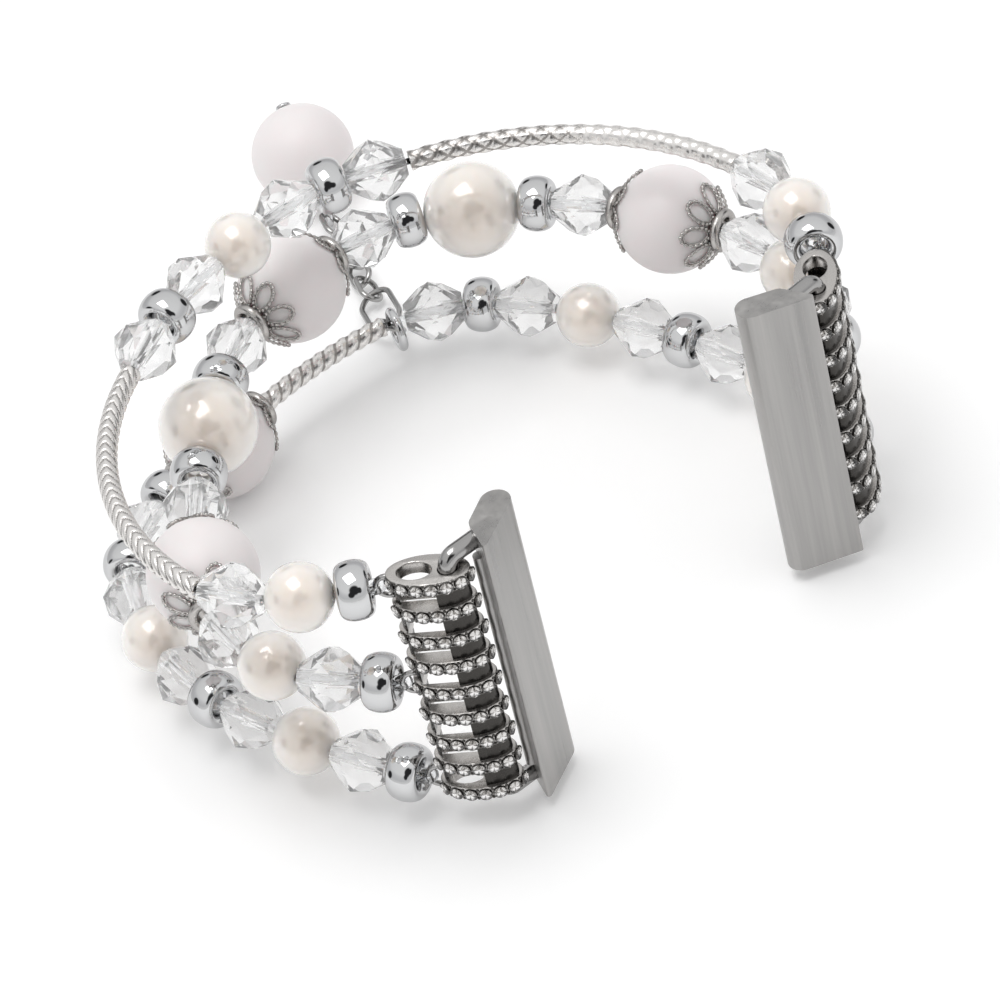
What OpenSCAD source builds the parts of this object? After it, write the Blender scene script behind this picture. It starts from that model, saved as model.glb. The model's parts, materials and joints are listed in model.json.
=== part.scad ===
// Bracelet band for a watch: three rows of beads on elastic cord between two rhinestone end connectors.
// The band stands on its edge, as the photo shows it. +Z is up, along the rows' spacing, and +Y points from
// the watch to the back of the loop. The origin is the middle of the gap that the watch case takes.
// All sizes are in millimetres. Pieces of the left side are drawn, and the right side mirrors them.

/* [Watch gap and lug bars] */
// Distance between the outer edges of the two lug bars, the length of the watch case
case_w = 38.4; // [37:0.1:46]
// Height of a lug bar, a little less than the width of the watch case
lug_h = 29.6; // [28:0.1:36]
// Radius of the lug bar's thick inner edge
lug_back_r = 1.35; // [1.2:0.05:1.6]
// Radius of the lug bar's thin front edge
lug_tip_r = 0.25; // [0.2:0.05:0.4]
// Distance between the centres of those two edges
lug_depth = 5.2; // [4.8:0.1:6]
// Slant of the lug bar in its slot, in degrees from the X axis
lug_slant = 38; // [34:1:42]
// How far the centre of the front edge lies in front of the origin
lug_front = 2.1; // [1.8:0.1:2.6]
// Radius of the lug bar round the root of its arms
lug_root_r = 1.1; // [1:0.05:1.3]
// How far the roots of the arms lie inside the centre of the front edge
root_in = 1.75; // [1.6:0.05:2]
// How far those roots lie behind it
root_back = 2.25; // [2.1:0.05:2.5]
// Radius of the shoulder rod on the outer side
shoulder_r = 0.5; // [0.4:0.05:0.6]
// Length of the catch in the lug bar
detent_l = 4; // [3:0.5:6]
// Width of the catch
detent_w = 1.2; // [1:0.1:1.6]
// How far the catch stands out of the lug bar
detent_out = 0.4; // [0.2:0.05:0.5]

/* [Lug arms] */
// Diameter of the bent arms and of their pegs
arm_d = 1.6; // [1.3:0.05:1.7]
// Inner bend radius of an arm, to its centre line
arm_bend = 1.0; // [0.9:0.1:1.4]
// Depth of a peg in the connector's eye
peg_l = 1.9; // [1.2:0.1:3]
// How far the pegs lie outside the lug bar's outer edge
peg_out = 2.3; // [2.2:0.1:3]
// How far the pegs lie behind the origin
peg_back = 0.3; // [0:0.1:1]
// Radial running clearance of a peg in its eye
peg_fit = 0.05; // [0.02:0.01:0.1]

/* [End connectors] */
// Number of ribs on a connector
rib_count = 9; // [7:2:11]
// Distance from one rib to the next
rib_pitch = 3; // [2.6:0.1:3.2]
// Height of one rib
rib_h = 1.3; // [1.25:0.05:1.6]
// Length of a rib's oval
rib_l = 7.2; // [6.8:0.1:9]
// Thickness of a rib's oval
rib_t = 3.8; // [3.6:0.1:4.6]
// Depth of the polished wall between the ribs
rib_recess = 0.35; // [0.2:0.05:0.5]
// Direction of the left connector at rest, in degrees from the X axis
connector_turn = 133; // [120:1:140]
// Distance from the connector's front end to its eye
eye_in = 1.9; // [1.8:0.1:2.2]
// Length of the open well through the connector
well_l = 3; // [2.4:0.1:3.2]
// Width of the open well
well_w = 2.1; // [1.4:0.1:2.2]
// Length of the windows between the ribs, which open into the well
window_l = 2.9; // [2.4:0.1:3]
// Wall between a peg's eye and the well
eye_wall = 0.5; // [0.4:0.05:0.7]
// Rhinestones on each rib
stones_per_rib = 7; // [5:1:7]
// Diameter of a rhinestone
rhinestone_d = 1.14; // [0.9:0.02:1.16]
// Distance from one rhinestone to the next
rhinestone_pitch = 1.28; // [1.2:0.02:1.3]
// Distance along the oval from its bead end to the middle rhinestone
rhinestones_mid = 4.79; // [4.4:0.05:4.9]
// Depth of a rhinestone's seat in the rib
seat_depth = 0.25; // [0.15:0.05:0.3]
// How far a rhinestone stands out of the rib
rhinestone_out = 0.3; // [0.15:0.05:0.4]
// Diameter of the wire of a cord staple
staple_wire_d = 0.5; // [0.4:0.05:0.7]
// Room inside a staple beyond the cord
staple_room = 0.5; // [0.4:0.05:0.7]
// Depth of a staple's legs in the connector
staple_leg = 0.6; // [0.5:0.05:0.8]

/* [Rows and cords] */
// Distance from one row of beads to the next
row_pitch = 11.2; // [11:0.1:12]
// Diameter of the elastic cord
cord_d = 0.6; // [0.5:0.05:0.7]
// Gap between a cord's eye and its staple
cord_fit = 0.08; // [0.05:0.01:0.15]
// Diameter of the knot in the first and last rondelle
knot_d = 1.5; // [1.2:0.1:1.6]
// Gap between the beads of the top and middle rows
bead_gap = 0.25; // [0.2:0.05:0.35]
// Gap between the beads of the bottom row, which is strung more loosely
bottom_gap = 0.35; // [0.15:0.05:0.5]

/* [Beads] */
// Diameter of a pearl
pearl_d = 6; // [5:0.1:7]
// Diameter of a big pearl
big_pearl_d = 9; // [7:0.1:10]
// Diameter of a frosted stone
stone_d = 10; // [9:0.1:11]
// Diameter of the bores through the beads
bore_d = 0.9; // [0.8:0.05:1.1]
// Length of a bicone crystal
crystal_l = 5.6; // [5:0.1:7]
// Diameter across the corners of a crystal's waist
crystal_d = 6; // [5:0.1:7]
// Diameter across the corners of a crystal's ends
crystal_end_d = 2.6; // [2:0.1:3]
// Facets round a crystal
crystal_sides = 8; // [6:1:10]
// Diameter of a rondelle
rondelle_d = 5.2; // [4.8:0.1:6]
// Length of a rondelle
rondelle_l = 2.9; // [2.2:0.1:3.4]
// Diameter of a rondelle's bore
rondelle_bore_d = 2.1; // [1.9:0.1:2.4]
// Diameter of the curved tubes
tube_d = 1.9; // [1.6:0.1:2.4]
// Diameter of the bore through a tube
tube_bore_d = 1; // [0.9:0.1:1.2]
// Length of a long tube of the top row
long_tube_l = 32; // [28:0.5:38]
// Length of the short tube of the bottom row
short_tube_l = 14; // [10:1:18]

/* [Bead caps] */
// Thickness of a cap's shell
cap_t = 0.4; // [0.3:0.05:0.6]
// Petals round a cap
cap_petals = 8; // [6:1:8]
// Distance of the petals from the cap's axis
petal_reach = 2.8; // [2.4:0.1:3]
// Diameter of a petal
petal_d = 2.14; // [1.8:0.02:2.2]
// Diameter of the window in a petal
window_d = 1.2; // [0.8:0.1:1.2]
// Diameter of the cap's plain ring, to the middle of its wire
collar_d = 3.5; // [3.2:0.1:3.8]
// Diameter of the plain ring's wire
collar_wire_d = 0.9; // [0.7:0.1:1]

/* [Charm] */
// Diameter of the charm bead
charm_d = 10; // [8:0.5:12]
// Outer diameter of the ring on the cord
ring_d = 4.4; // [4:0.1:5]
// Diameter of that ring's wire
ring_wire_d = 0.9; // [0.8:0.1:1]
// Diameter of the chain's and the head pin's wire
link_wire_d = 0.6; // [0.5:0.05:0.7]
// Outer length of a small link
small_link_l = 4.1; // [3.8:0.1:5]
// Outer width of a small link
small_link_w = 2.7; // [2.5:0.1:3]
// Outer length of the large link
large_link_l = 7; // [6:0.1:8]
// Outer width of the large link
large_link_w = 3.8; // [3:0.1:4.4]
// Outer diameter of the head pin's loop
pin_loop_d = 2.8; // [2.6:0.1:3.4]
// Diameter of the head pin's head
pin_head_d = 1.6; // [1.2:0.1:2]
// Direction in which the chain lies, in degrees from the X axis
chain_turn = 67; // [50:1:90]

/* [Hidden] */

chrome = [0.78, 0.79, 0.8];
gunmetal = [0.55, 0.55, 0.57];
antique = [0.6, 0.59, 0.57];
ivory = [0.93, 0.9, 0.85];
frosted = [0.86, 0.82, 0.82];
clear = [0.88, 0.92, 0.95];

$fn = 40;

// Unit vector in plan at an angle, and the angle and length of a vector in plan
function dir(a) = [cos(a), sin(a)];
function angle(v) = atan2(v.y, v.x);
function mid(a, b) = (a + b) / 2;
function sum(v, n, i = 0) = i >= n ? 0 : v[i] + sum(v, n, i + 1);

// Places of the left side, in plan
lug_tip = [-(case_w / 2 - lug_tip_r), -lug_front];
lug_back = lug_tip + lug_depth * dir(lug_slant);
peg = [-(case_w / 2 + peg_out), peg_back];
arm_r = arm_d / 2;
arm_root = lug_tip + [root_in, root_back];
shoulder = [-(case_w / 2 - 0.1 - shoulder_r), peg_back - shoulder_r];

// The connector's oval, its eye and its staples
rib_a = rib_l / 2;
rib_b = rib_t / 2;
connector_h = (rib_count - 1) * rib_pitch + rib_h;
connector_mid = peg + (rib_a - eye_in) * dir(connector_turn);
eye_x = eye_in - rib_a;
arm_gap = 0.15;
arm_z = connector_h / 2 + arm_gap + arm_r;
cord_r = cord_d / 2;
staple_wire_r = staple_wire_d / 2;
cord_eye_r = staple_wire_r + cord_fit + cord_r;
staple_r = cord_r + staple_wire_r + staple_room;
staple_out = rib_a + staple_r;
staple = connector_mid + staple_out * dir(connector_turn);
row_z = [row_pitch, 0, -row_pitch];

// A bead's length on the cord, by its kind: R rondelle, P pearl, B big pearl, C crystal, S stone with its
// two caps, L long tube, T short tube, J ring of the charm
collar_out = collar_wire_d;
tube_room = 0.15;
ring_room = 0.3;
function bead_l(kind) =
    kind == "R" ? rondelle_l :
    kind == "P" ? pearl_d :
    kind == "B" ? big_pearl_d :
    kind == "C" ? crystal_l :
    kind == "S" ? stone_d + 2 * collar_out :
    kind == "L" ? long_tube_l + 2 * tube_room :
    kind == "T" ? short_tube_l + 2 * tube_room :
    ring_wire_d + 2 * ring_room;

// The beads of each row from the left connector to the right one
top_beads = ["R", "P", "C", "L", "C", "R", "C", "P", "C", "R", "C", "L", "C", "P", "R"];
middle_beads = ["R", "C", "P", "C", "S", "C", "R", "B", "R", "C", "S", "C", "R", "B", "R", "C", "S",
                "C", "P", "C", "R"];
bottom_beads = ["R", "C", "P", "C", "R", "C", "P", "C", "R", "C", "R", "S", "T", "J", "C", "R", "C",
                "P", "C", "R", "C", "P", "C", "R"];

// The bow of each row in plan, from the left staple to the right one. These points give the shape alone:
// fit_bow() scales them until the row is as long as its beads.
top_bow = [[-31.5, 11.5], [-34, 24], [-22, 40.5], [-6, 47], [9.1, 45.5], [26.3, 29.9], [28.7, 13.2]];
middle_bow = [[-31.1, 15.9], [-27.6, 29], [-11.8, 45.7], [2.5, 52.2], [17.6, 48.2], [29, 31.6], [30.8, 15.9]];
bottom_bow = [[-30.2, 17.2], [-31.5, 33.1], [-24.6, 48.7], [-7.2, 54.4], [12.4, 53.5], [22.6, 42.6], [28.6, 20.1]];

// A smooth curve through points a, b, c, d, between b and c
function spline(a, b, c, d, t) =
    (2 * b + (c - a) * t + (2 * a - 5 * b + 4 * c - d) * t * t
    + (3 * b - a - 3 * c + d) * t * t * t) / 2;
function stretch(bow, k) = [for (p = bow) [p.x * k, staple.y + (p.y - staple.y) * k]];
function knots(bow, k) = let (run = 8 * dir(connector_turn)) concat(
    [staple - run, staple],
    stretch(bow, k),
    [[-staple.x, staple.y], [-staple.x + run.x, staple.y - run.y]]);
steps = 12;
function curve(q) = [
    for (i = [1 : len(q) - 3], j = [0 : steps - 1]) spline(q[i - 1], q[i], q[i + 1], q[i + 2], j / steps),
    q[len(q) - 2]];
function distances(p) = [for (i = 0, s = 0; i < len(p); s = s + norm(p[min(i + 1, len(p) - 1)] - p[i]), i = i + 1) s];
function curve_l(bow, k) = let (d = distances(curve(knots(bow, k)))) d[len(d) - 1];
function fit_bow(bow, l, low = 0.5, high = 2, n = 22) =
    let (k = (low + high) / 2)
    n == 0 ? k : curve_l(bow, k) < l ? fit_bow(bow, l, k, high, n - 1) : fit_bow(bow, l, low, k, n - 1);

// The point of a curve at a distance along it
function at(p, table, s) =
    let (f = lookup(s, table), i = min(floor(f), len(p) - 2)) p[i] + (f - i) * (p[i + 1] - p[i]);

// The joints of a row: the points of its cord between the beads, so that bead i lies from joint i to i + 1
function lead(gap) = staple_wire_r + 0.1 - gap / 2;
function row_l(beads, gap) = 2 * lead(gap) + sum([for (b = beads) bead_l(b) + gap], len(beads));
function joints(beads, bow, gap) =
    let (
        p = curve(knots(bow, fit_bow(bow, row_l(beads, gap)))),
        d = distances(p),
        table = [for (i = [0 : len(p) - 1]) [d[i], i]],
        v = [for (b = beads) bead_l(b) + gap]
    )
    [for (i = 0, s = lead(gap); i <= len(beads); s = s + (i < len(beads) ? v[i] : 0), i = i + 1)
        at(p, table, s)];

// Each row: its beads, its joints, its height and its gap
rows = [
    [top_beads, joints(top_beads, top_bow, bead_gap), row_z[0], bead_gap],
    [middle_beads, joints(middle_beads, middle_bow, bead_gap), row_z[1], bead_gap],
    [bottom_beads, joints(bottom_beads, bottom_bow, bottom_gap), row_z[2], bottom_gap]
];

// The places in a row where beads of one kind lie
function places(row, kind) = [for (i = [0 : len(row[0]) - 1]) if (row[0][i] == kind) i];

// Puts its child, drawn along +X about the origin, in place i of a row
module on_cord(row, i) {
    a = row[1][i];
    b = row[1][i + 1];
    translate([mid(a, b).x, mid(a, b).y, row[2]])
        rotate([0, 0, angle(b - a)])
            children();
}

module bore(l, d) {
    rotate([0, 90, 0]) cylinder(h = l, d = d, center = true, $fn = 24);
}

// A tube bent to a true arc of its length l over the chord from joint i to joint i + 1. Half its angle h
// satisfies sin(h) / h = chord / length.
function half_angle(q, low = 1, high = 170, n = 24) =
    let (h = (low + high) / 2)
    n == 0 ? h : sin(h) / (h * PI / 180) > q ? half_angle(q, h, high, n - 1) : half_angle(q, low, h, n - 1);
function chord(row, i) = norm(row[1][i + 1] - row[1][i]);
function arc_half(row, i) = half_angle(chord(row, i) / (bead_l(row[0][i]) + row[3]));
function arc_r(row, i) = chord(row, i) / 2 / sin(arc_half(row, i));

module bent_tube(row, i) {
    r = arc_r(row, i);
    half = arc_half(row, i) - (row[3] / 2 + tube_room) / r * 180 / PI;
    on_cord(row, i)
        translate([0, -r * cos(arc_half(row, i)), 0])
            rotate([0, 0, 90 - half])
                rotate_extrude(angle = 2 * half)
                    translate([r, 0])
                        difference() {
                            circle(d = tube_d);
                            circle(d = tube_bore_d);
                        }
}

// The route of a row's cord. It starts as the tail beside the first strand, goes round the staple, runs
// through the joints with the arcs inside the tubes, and ends in the same way at the other staple.
arc_steps = 10;
function arc_points(row, i) =
    let (
        r = arc_r(row, i),
        h = arc_half(row, i),
        a = row[1][i],
        b = row[1][i + 1],
        turn = angle(b - a),
        centre = mid(a, b) - r * cos(h) * dir(turn + 90)
    )
    [for (j = [1 : arc_steps - 1]) centre + r * dir(turn + 90 + h - 2 * h * j / arc_steps)];

// One end of the cord about its staple, along +X towards the beads, as [x, y, radius]
knot_x = staple_wire_r + 0.1 + rondelle_l / 2;
tail = [knot_x - 0.85, cord_r + 0.03];
loop_steps = 12;
loop_turn = angle(tail) + acos(cord_eye_r / norm(tail));
loop = concat(
    [[tail.x, -tail.y, cord_r]],
    [for (j = [0 : loop_steps]) let (a = -loop_turn - (360 - 2 * loop_turn) * j / loop_steps)
        [cord_eye_r * cos(a), cord_eye_r * sin(a), cord_r]],
    [[tail.x, tail.y, cord_r], [knot_x - 0.6, 0.13, cord_r]],
    [for (j = [-2 : 2]) [knot_x + 0.2 * j, 0, [0.35, knot_d / 2 - 0.1, knot_d / 2][2 - abs(j)]]],
    [[knot_x + 0.75, 0, cord_r]]);
function placed(p, at_point, turn, side) =
    [for (q = p) let (v = at_point + q.x * dir(turn) + side * q.y * dir(turn + 90)) [v.x, v.y, q.z]];
function route(row) =
    let (
        n = len(row[0]),
        inner = [for (i = [1 : n - 1]) each concat(
            [row[1][i]],
            row[0][i] == "L" || row[0][i] == "T" ? arc_points(row, i) : [])],
        far = [-staple.x, staple.y],
        back = placed(loop, far, angle(row[1][n - 1] - far), -1)
    )
    concat(
        placed(loop, staple, angle(row[1][1] - staple), 1),
        [for (q = inner) [q.x, q.y, cord_r]],
        [for (i = [len(back) - 1 : -1 : 0]) back[i]]);

// A round cord swept along [x, y, radius] at height z
cord_sides = 8;
function flat(v) = [v.x, v.y];
function unit(v) = v / norm(v);
module sweep(p, z) {
    n = len(p);
    turn = [for (i = [0 : n - 1]) angle(
        (i == 0 ? [0, 0] : unit(flat(p[i]) - flat(p[i - 1])))
        + (i == n - 1 ? [0, 0] : unit(flat(p[i + 1]) - flat(p[i]))))];
    points = [for (i = [0 : n - 1], j = [0 : cord_sides - 1])
        let (a = (j + 0.5) * 360 / cord_sides, side = p[i].z * cos(a) * dir(turn[i] + 90))
        [p[i].x + side.x, p[i].y + side.y, z + p[i].z * sin(a)]];
    sides = [for (i = [0 : n - 2], j = [0 : cord_sides - 1])
        let (k = (j + 1) % cord_sides, a = i * cord_sides, b = a + cord_sides)
        each [[a + j, b + j, b + k], [a + j, b + k, a + k]]];
    polyhedron(
        points,
        concat(
            [[for (j = [0 : cord_sides - 1]) j]],
            sides,
            [[for (j = [cord_sides - 1 : -1 : 0]) (n - 1) * cord_sides + j]]),
        convexity = 10);
}

module cord(row) {
    color(clear) sweep(route(row), row[2]);
}

module torus(r, wire_r) {
    rotate_extrude() translate([r, 0]) circle(r = wire_r, $fn = 20);
}

// A ball with a bore along +X
module ball(d) {
    rotate([0, 90, 0]) rotate_extrude() intersection() {
        circle(d = d, $fn = 48);
        translate([bore_d / 2, -d]) square([d, 2 * d]);
    }
}

module pearl(row, i, d) {
    color(ivory) on_cord(row, i) ball(d);
}

module stone(row, i) {
    color(frosted) on_cord(row, i) ball(stone_d);
}

module rondelle() {
    wall = (rondelle_d - rondelle_bore_d) / 4;
    rotate([0, 90, 0]) rotate_extrude() translate([rondelle_bore_d / 2 + wall, 0]) {
        for (s = [-1, 1]) translate([0, s * (rondelle_l / 2 - wall)]) circle(r = wall, $fn = 24);
        square([2 * wall, rondelle_l - 2 * wall], center = true);
    }
}

module rondelles(row) {
    color(chrome) for (i = places(row, "R")) on_cord(row, i) rondelle();
}

module crystal() {
    difference() {
        for (s = [-90, 90]) rotate([0, s, 0])
            cylinder(h = crystal_l / 2, d1 = crystal_d, d2 = crystal_end_d, $fn = crystal_sides);
        bore(crystal_l + 1, bore_d);
    }
}

module crystals(row) {
    color(clear) for (i = places(row, "C")) on_cord(row, i) crystal();
}

// A filigree cap on the stone's +X side
module cap() {
    seat_r = stone_d / 2 + 0.03;
    color(antique) rotate([0, 90, 0]) difference() {
        union() {
            intersection() {
                difference() {
                    sphere(r = seat_r + cap_t);
                    sphere(r = seat_r);
                }
                union() {
                    cylinder(h = stone_d, r = petal_reach - petal_d / 4);
                    for (k = [1 : cap_petals]) rotate([0, 0, k * 360 / cap_petals])
                        translate([petal_reach, 0, 0]) cylinder(h = stone_d, d = petal_d, $fn = 24);
                }
            }
            translate([0, 0, stone_d / 2 + collar_wire_d / 2]) torus(collar_d / 2, collar_wire_d / 2);
        }
        for (k = [1 : cap_petals]) rotate([0, 0, k * 360 / cap_petals])
            translate([petal_reach, 0, 0]) cylinder(h = stone_d, d = window_d, $fn = 16);
        cylinder(h = stone_d, d = bore_d + 0.3, $fn = 24);
    }
}

module caps(row, i) {
    on_cord(row, i) {
        cap();
        mirror([1, 0, 0]) cap();
    }
}

// The connector is drawn along its own X axis, with its bead end at +X and its outer side at +Y
module at_connector() {
    translate([connector_mid.x, connector_mid.y, 0]) rotate([0, 0, connector_turn]) children();
}

module oval(inset) {
    scale([1, (rib_b - inset) / (rib_a - inset)]) circle(r = rib_a - inset, $fn = 48);
}

// The open well lies between the wall round the eye and the bead end. Between two ribs it opens on both
// sides through a window, so that only a post at each end joins the ribs. The window lies a little nearer
// the eye than the well, which keeps the post at the bead end strong.
well_from = eye_x + arm_r + peg_fit + eye_wall;
window_shift = 0.1;
module well() {
    translate([well_from + well_l / 2, 0]) scale([1, well_w / well_l]) circle(d = well_l, $fn = 40);
}
module posts() {
    difference() {
        oval(rib_recess);
        translate([well_from + (well_l - window_l) / 2 - window_shift, -rib_t]) square([window_l, 2 * rib_t]);
    }
}

// Places of the rhinestones along the outer half of a rib's oval, as angles of the ellipse
oval_table = [for (t = 0, s = 0; t <= 240; s = s + norm([rib_a * (cos(t + 2) - cos(t)), rib_b * (sin(t + 2) - sin(t))]),
    t = t + 2) [s, t]];
function stone_t(j) = lookup(rhinestones_mid + (j - (stones_per_rib - 1) / 2) * rhinestone_pitch, oval_table);

// Puts its child on the rib's outer face with +Z pointing out of the metal
module at_rhinestone(rib, j) {
    t = stone_t(j);
    translate([rib_a * cos(t), rib_b * sin(t), (rib - (rib_count - 1) / 2) * rib_pitch])
        rotate([0, 90, atan2(rib_a * sin(t), rib_b * cos(t))])
            children();
}

module all_rhinestones() {
    for (rib = [0 : rib_count - 1], j = [0 : stones_per_rib - 1]) at_rhinestone(rib, j) children();
}

module rhinestones() {
    color(clear) at_connector() all_rhinestones() translate([0, 0, -seat_depth]) {
        cylinder(h = seat_depth, d = rhinestone_d, $fn = 8);
        translate([0, 0, seat_depth])
            cylinder(h = rhinestone_out, d1 = rhinestone_d, d2 = rhinestone_d * 0.6, $fn = 8);
    }
}

// Half a ring of wire that stands out of the bead end, with two legs in the metal
module staple_ring() {
    translate([rib_a, 0, 0]) {
        rotate([90, 0, 0]) rotate([0, 0, -90]) rotate_extrude(angle = 180)
            translate([staple_r, 0]) circle(r = staple_wire_r, $fn = 20);
        for (s = [-1, 1]) translate([-staple_leg, 0, s * staple_r]) rotate([0, 90, 0])
            cylinder(h = staple_leg, r = staple_wire_r, $fn = 20);
    }
}

module connector() {
    color(gunmetal) at_connector() difference() {
        union() {
            linear_extrude(height = connector_h, center = true) posts();
            for (rib = [0 : rib_count - 1]) translate([0, 0, (rib - (rib_count - 1) / 2) * rib_pitch])
                linear_extrude(height = rib_h, center = true) oval(0);
            for (z = row_z) translate([0, 0, z]) staple_ring();
        }
        linear_extrude(height = connector_h + 1, center = true) well();
        for (s = [-1, 1]) translate([eye_x, 0, s * (connector_h / 2 - peg_l / 2)])
            cylinder(h = peg_l + 0.4, r = arm_r + peg_fit, center = true, $fn = 32);
        all_rhinestones() translate([0, 0, -seat_depth]) cylinder(h = 1, d = rhinestone_d + 0.06, $fn = 16);
    }
}

// The lug bar's outline, a teardrop from its thick inner edge to its thin front edge
module lug_outline() {
    hull() {
        translate(lug_back) circle(r = lug_back_r, $fn = 32);
        translate(arm_root) circle(r = lug_root_r, $fn = 32);
        translate(lug_tip) circle(r = lug_tip_r, $fn = 32);
    }
}

// Outward direction of the lug bar's back face and the middle of that face
root_to_back = lug_back - arm_root;
back_normal = angle(root_to_back) + acos((lug_root_r - lug_back_r) / norm(root_to_back));
back_face = mid(arm_root, lug_back) + mid(lug_root_r, lug_back_r) * dir(back_normal);
// Outward direction of its front face, which seats in the watch's slot, and the middle of that face
tip_to_back = lug_back - lug_tip;
front_normal = angle(tip_to_back) - acos((lug_tip_r - lug_back_r) / norm(tip_to_back));
front_face = mid(lug_tip, lug_back) + mid(lug_tip_r, lug_back_r) * dir(front_normal);

// Drawn with +Z out of the back face
module at_detent() {
    translate([back_face.x, back_face.y, 0]) rotate([0, 90, back_normal]) children();
}

detent_depth = 0.8;
detent_fit = 0.05;
module detent_shape(extra, h) {
    linear_extrude(height = h) {
        for (s = [-1, 1]) translate([s * (detent_l - detent_w) / 2, 0]) circle(d = detent_w + extra, $fn = 24);
        square([detent_l - detent_w, detent_w + extra], center = true);
    }
}

// Frame of an arm: origin on the peg's axis, +X towards the lug bar
arm_run = norm(arm_root - peg);
module at_arm() {
    translate([peg.x, peg.y, 0]) rotate([0, 0, angle(arm_root - peg)]) children();
}

module lug_bar() {
    color(chrome) difference() {
        union() {
            linear_extrude(height = lug_h, center = true) lug_outline();
            translate([shoulder.x, shoulder.y, 0])
                cylinder(h = connector_h - 1, r = shoulder_r, center = true, $fn = 24);
        }
        at_arm() for (s = [-1, 1]) translate([arm_run / 2, 0, s * arm_z]) rotate([0, 90, 0])
            cylinder(h = arm_run / 2 + 0.3, r = arm_r + 0.02, $fn = 32);
        at_detent() translate([0, 0, -detent_depth - detent_out])
            detent_shape(2 * detent_fit, detent_depth + detent_out + 1);
    }
}

module lug_arms() {
    color(chrome) at_arm() for (s = [0, 1]) mirror([0, 0, s]) {
        translate([arm_bend, 0, arm_z]) rotate([0, 90, 0])
            cylinder(h = arm_run + 0.3 - arm_bend, r = arm_r, $fn = 32);
        translate([arm_bend, 0, arm_z - arm_bend]) rotate([90, 0, 0]) rotate([0, 0, 90])
            rotate_extrude(angle = 90) translate([arm_bend, 0]) circle(r = arm_r, $fn = 32);
        translate([0, 0, connector_h / 2 - peg_l])
            cylinder(h = arm_z - arm_bend - connector_h / 2 + peg_l, r = arm_r, $fn = 32);
    }
}

module lug_detent() {
    color(chrome) at_detent() translate([0, 0, -detent_depth])
        detent_shape(0, detent_depth + detent_out);
}

// The charm hangs from the ring at place "J" of the bottom row
ring_place = places(rows[2], "J")[0];
ring_axis = angle(rows[2][1][ring_place + 1] - rows[2][1][ring_place]);
ring_r = (ring_d - ring_wire_d) / 2;
ring_drop = ring_r - ring_wire_d / 2 - cord_r - 0.05;
ring_plan = mid(rows[2][1][ring_place], rows[2][1][ring_place + 1]);
ring_mid = [ring_plan.x, ring_plan.y, -row_pitch - ring_drop];
link_r = link_wire_d / 2;
link_slack = 0.15;

// A direction in space from its turn in plan and its rise, both in degrees
function aim(turn, rise) = [cos(rise) * cos(turn), cos(rise) * sin(turn), sin(rise)];

// The ring is hooked at its low outer side
hook_fall = -30;
hook = ring_mid + ring_r * aim(ring_axis + 90, hook_fall);

// Each link: outer length, outer width, rise and roll in degrees
links = [
    [small_link_l, small_link_w, -26, 35],
    [large_link_l, large_link_w, -7, -22],
    [small_link_l, small_link_w, 0, 38],
    [small_link_l, small_link_w, 0, -38],
    [small_link_l, small_link_w, 0, 38],
    [small_link_l, small_link_w, 0, -38],
    [small_link_l, small_link_w, 0, 38]
];
large_at = 1;
// Distance between the ends' wire centres of a link, and the step that a hooked wire of radius w takes back
function reach(i) = links[i][0] - link_wire_d;
function back_step(w) = link_r + w + link_slack;
function link_start(i) =
    i == 0 ? hook - back_step(ring_wire_d / 2) * aim(chain_turn, links[0][2])
           : link_end(i - 1) - back_step(link_r) * aim(chain_turn, links[i][2]);
function link_end(i) = link_start(i) + reach(i) * aim(chain_turn, links[i][2]);

// An oval link from its first wire centre at the origin, along +X
module oval_link(l, w) {
    r = (w - link_wire_d) / 2;
    run = l - w;
    translate([r, 0, 0]) rotate([0, 0, 90]) rotate_extrude(angle = 180)
        translate([r, 0]) circle(r = link_r, $fn = 16);
    translate([r + run, 0, 0]) rotate([0, 0, -90]) rotate_extrude(angle = 180)
        translate([r, 0]) circle(r = link_r, $fn = 16);
    for (s = [-1, 1]) translate([r, s * r, 0]) rotate([0, 90, 0]) cylinder(h = run, r = link_r, $fn = 16);
}

module chain_link(i) {
    color(chrome) translate(link_start(i)) rotate([0, 0, chain_turn]) rotate([0, -links[i][2], 0])
        rotate([links[i][3], 0, 0]) oval_link(links[i][0], links[i][1]);
}

// The head pin: a loop in an upright plane, a stem that rises through the bead, and a head
pin_loop_r = (pin_loop_d - link_wire_d) / 2;
resting_z = -row_pitch - stone_d / 2;
pin_hook = link_end(len(links) - 1);
loop_mid = pin_hook + (pin_loop_r - back_step(link_r)) * aim(chain_turn, 0);
bead_along = pin_loop_r + link_r + 0.1 + charm_d / 2;
pin_rise = asin((resting_z + charm_d / 2 - loop_mid.z) / bead_along);
bead_mid = loop_mid + bead_along * aim(chain_turn, pin_rise);

module at_pin() {
    translate(loop_mid) rotate([0, 0, chain_turn]) rotate([0, -pin_rise, 0]) children();
}

module charm_pin() {
    stem_l = bead_along + charm_d / 2 + 0.1 - pin_loop_r;
    color(chrome) at_pin() {
        rotate([90, 0, 0]) torus(pin_loop_r, link_r);
        translate([pin_loop_r, 0, 0]) rotate([0, 90, 0]) cylinder(h = stem_l, r = link_r, $fn = 16);
        translate([pin_loop_r + stem_l, 0, 0]) rotate([0, 90, 0]) cylinder(h = 0.4, d = pin_head_d, $fn = 24);
    }
}

module charm_bead() {
    color(frosted) at_pin() translate([bead_along, 0, 0]) ball(charm_d);
}

module charm_ring() {
    color(chrome) translate(ring_mid) rotate([0, 0, ring_axis]) rotate([0, 90, 0]) torus(ring_r, ring_wire_d / 2);
}

module right() {
    mirror([1, 0, 0]) children();
}

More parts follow.
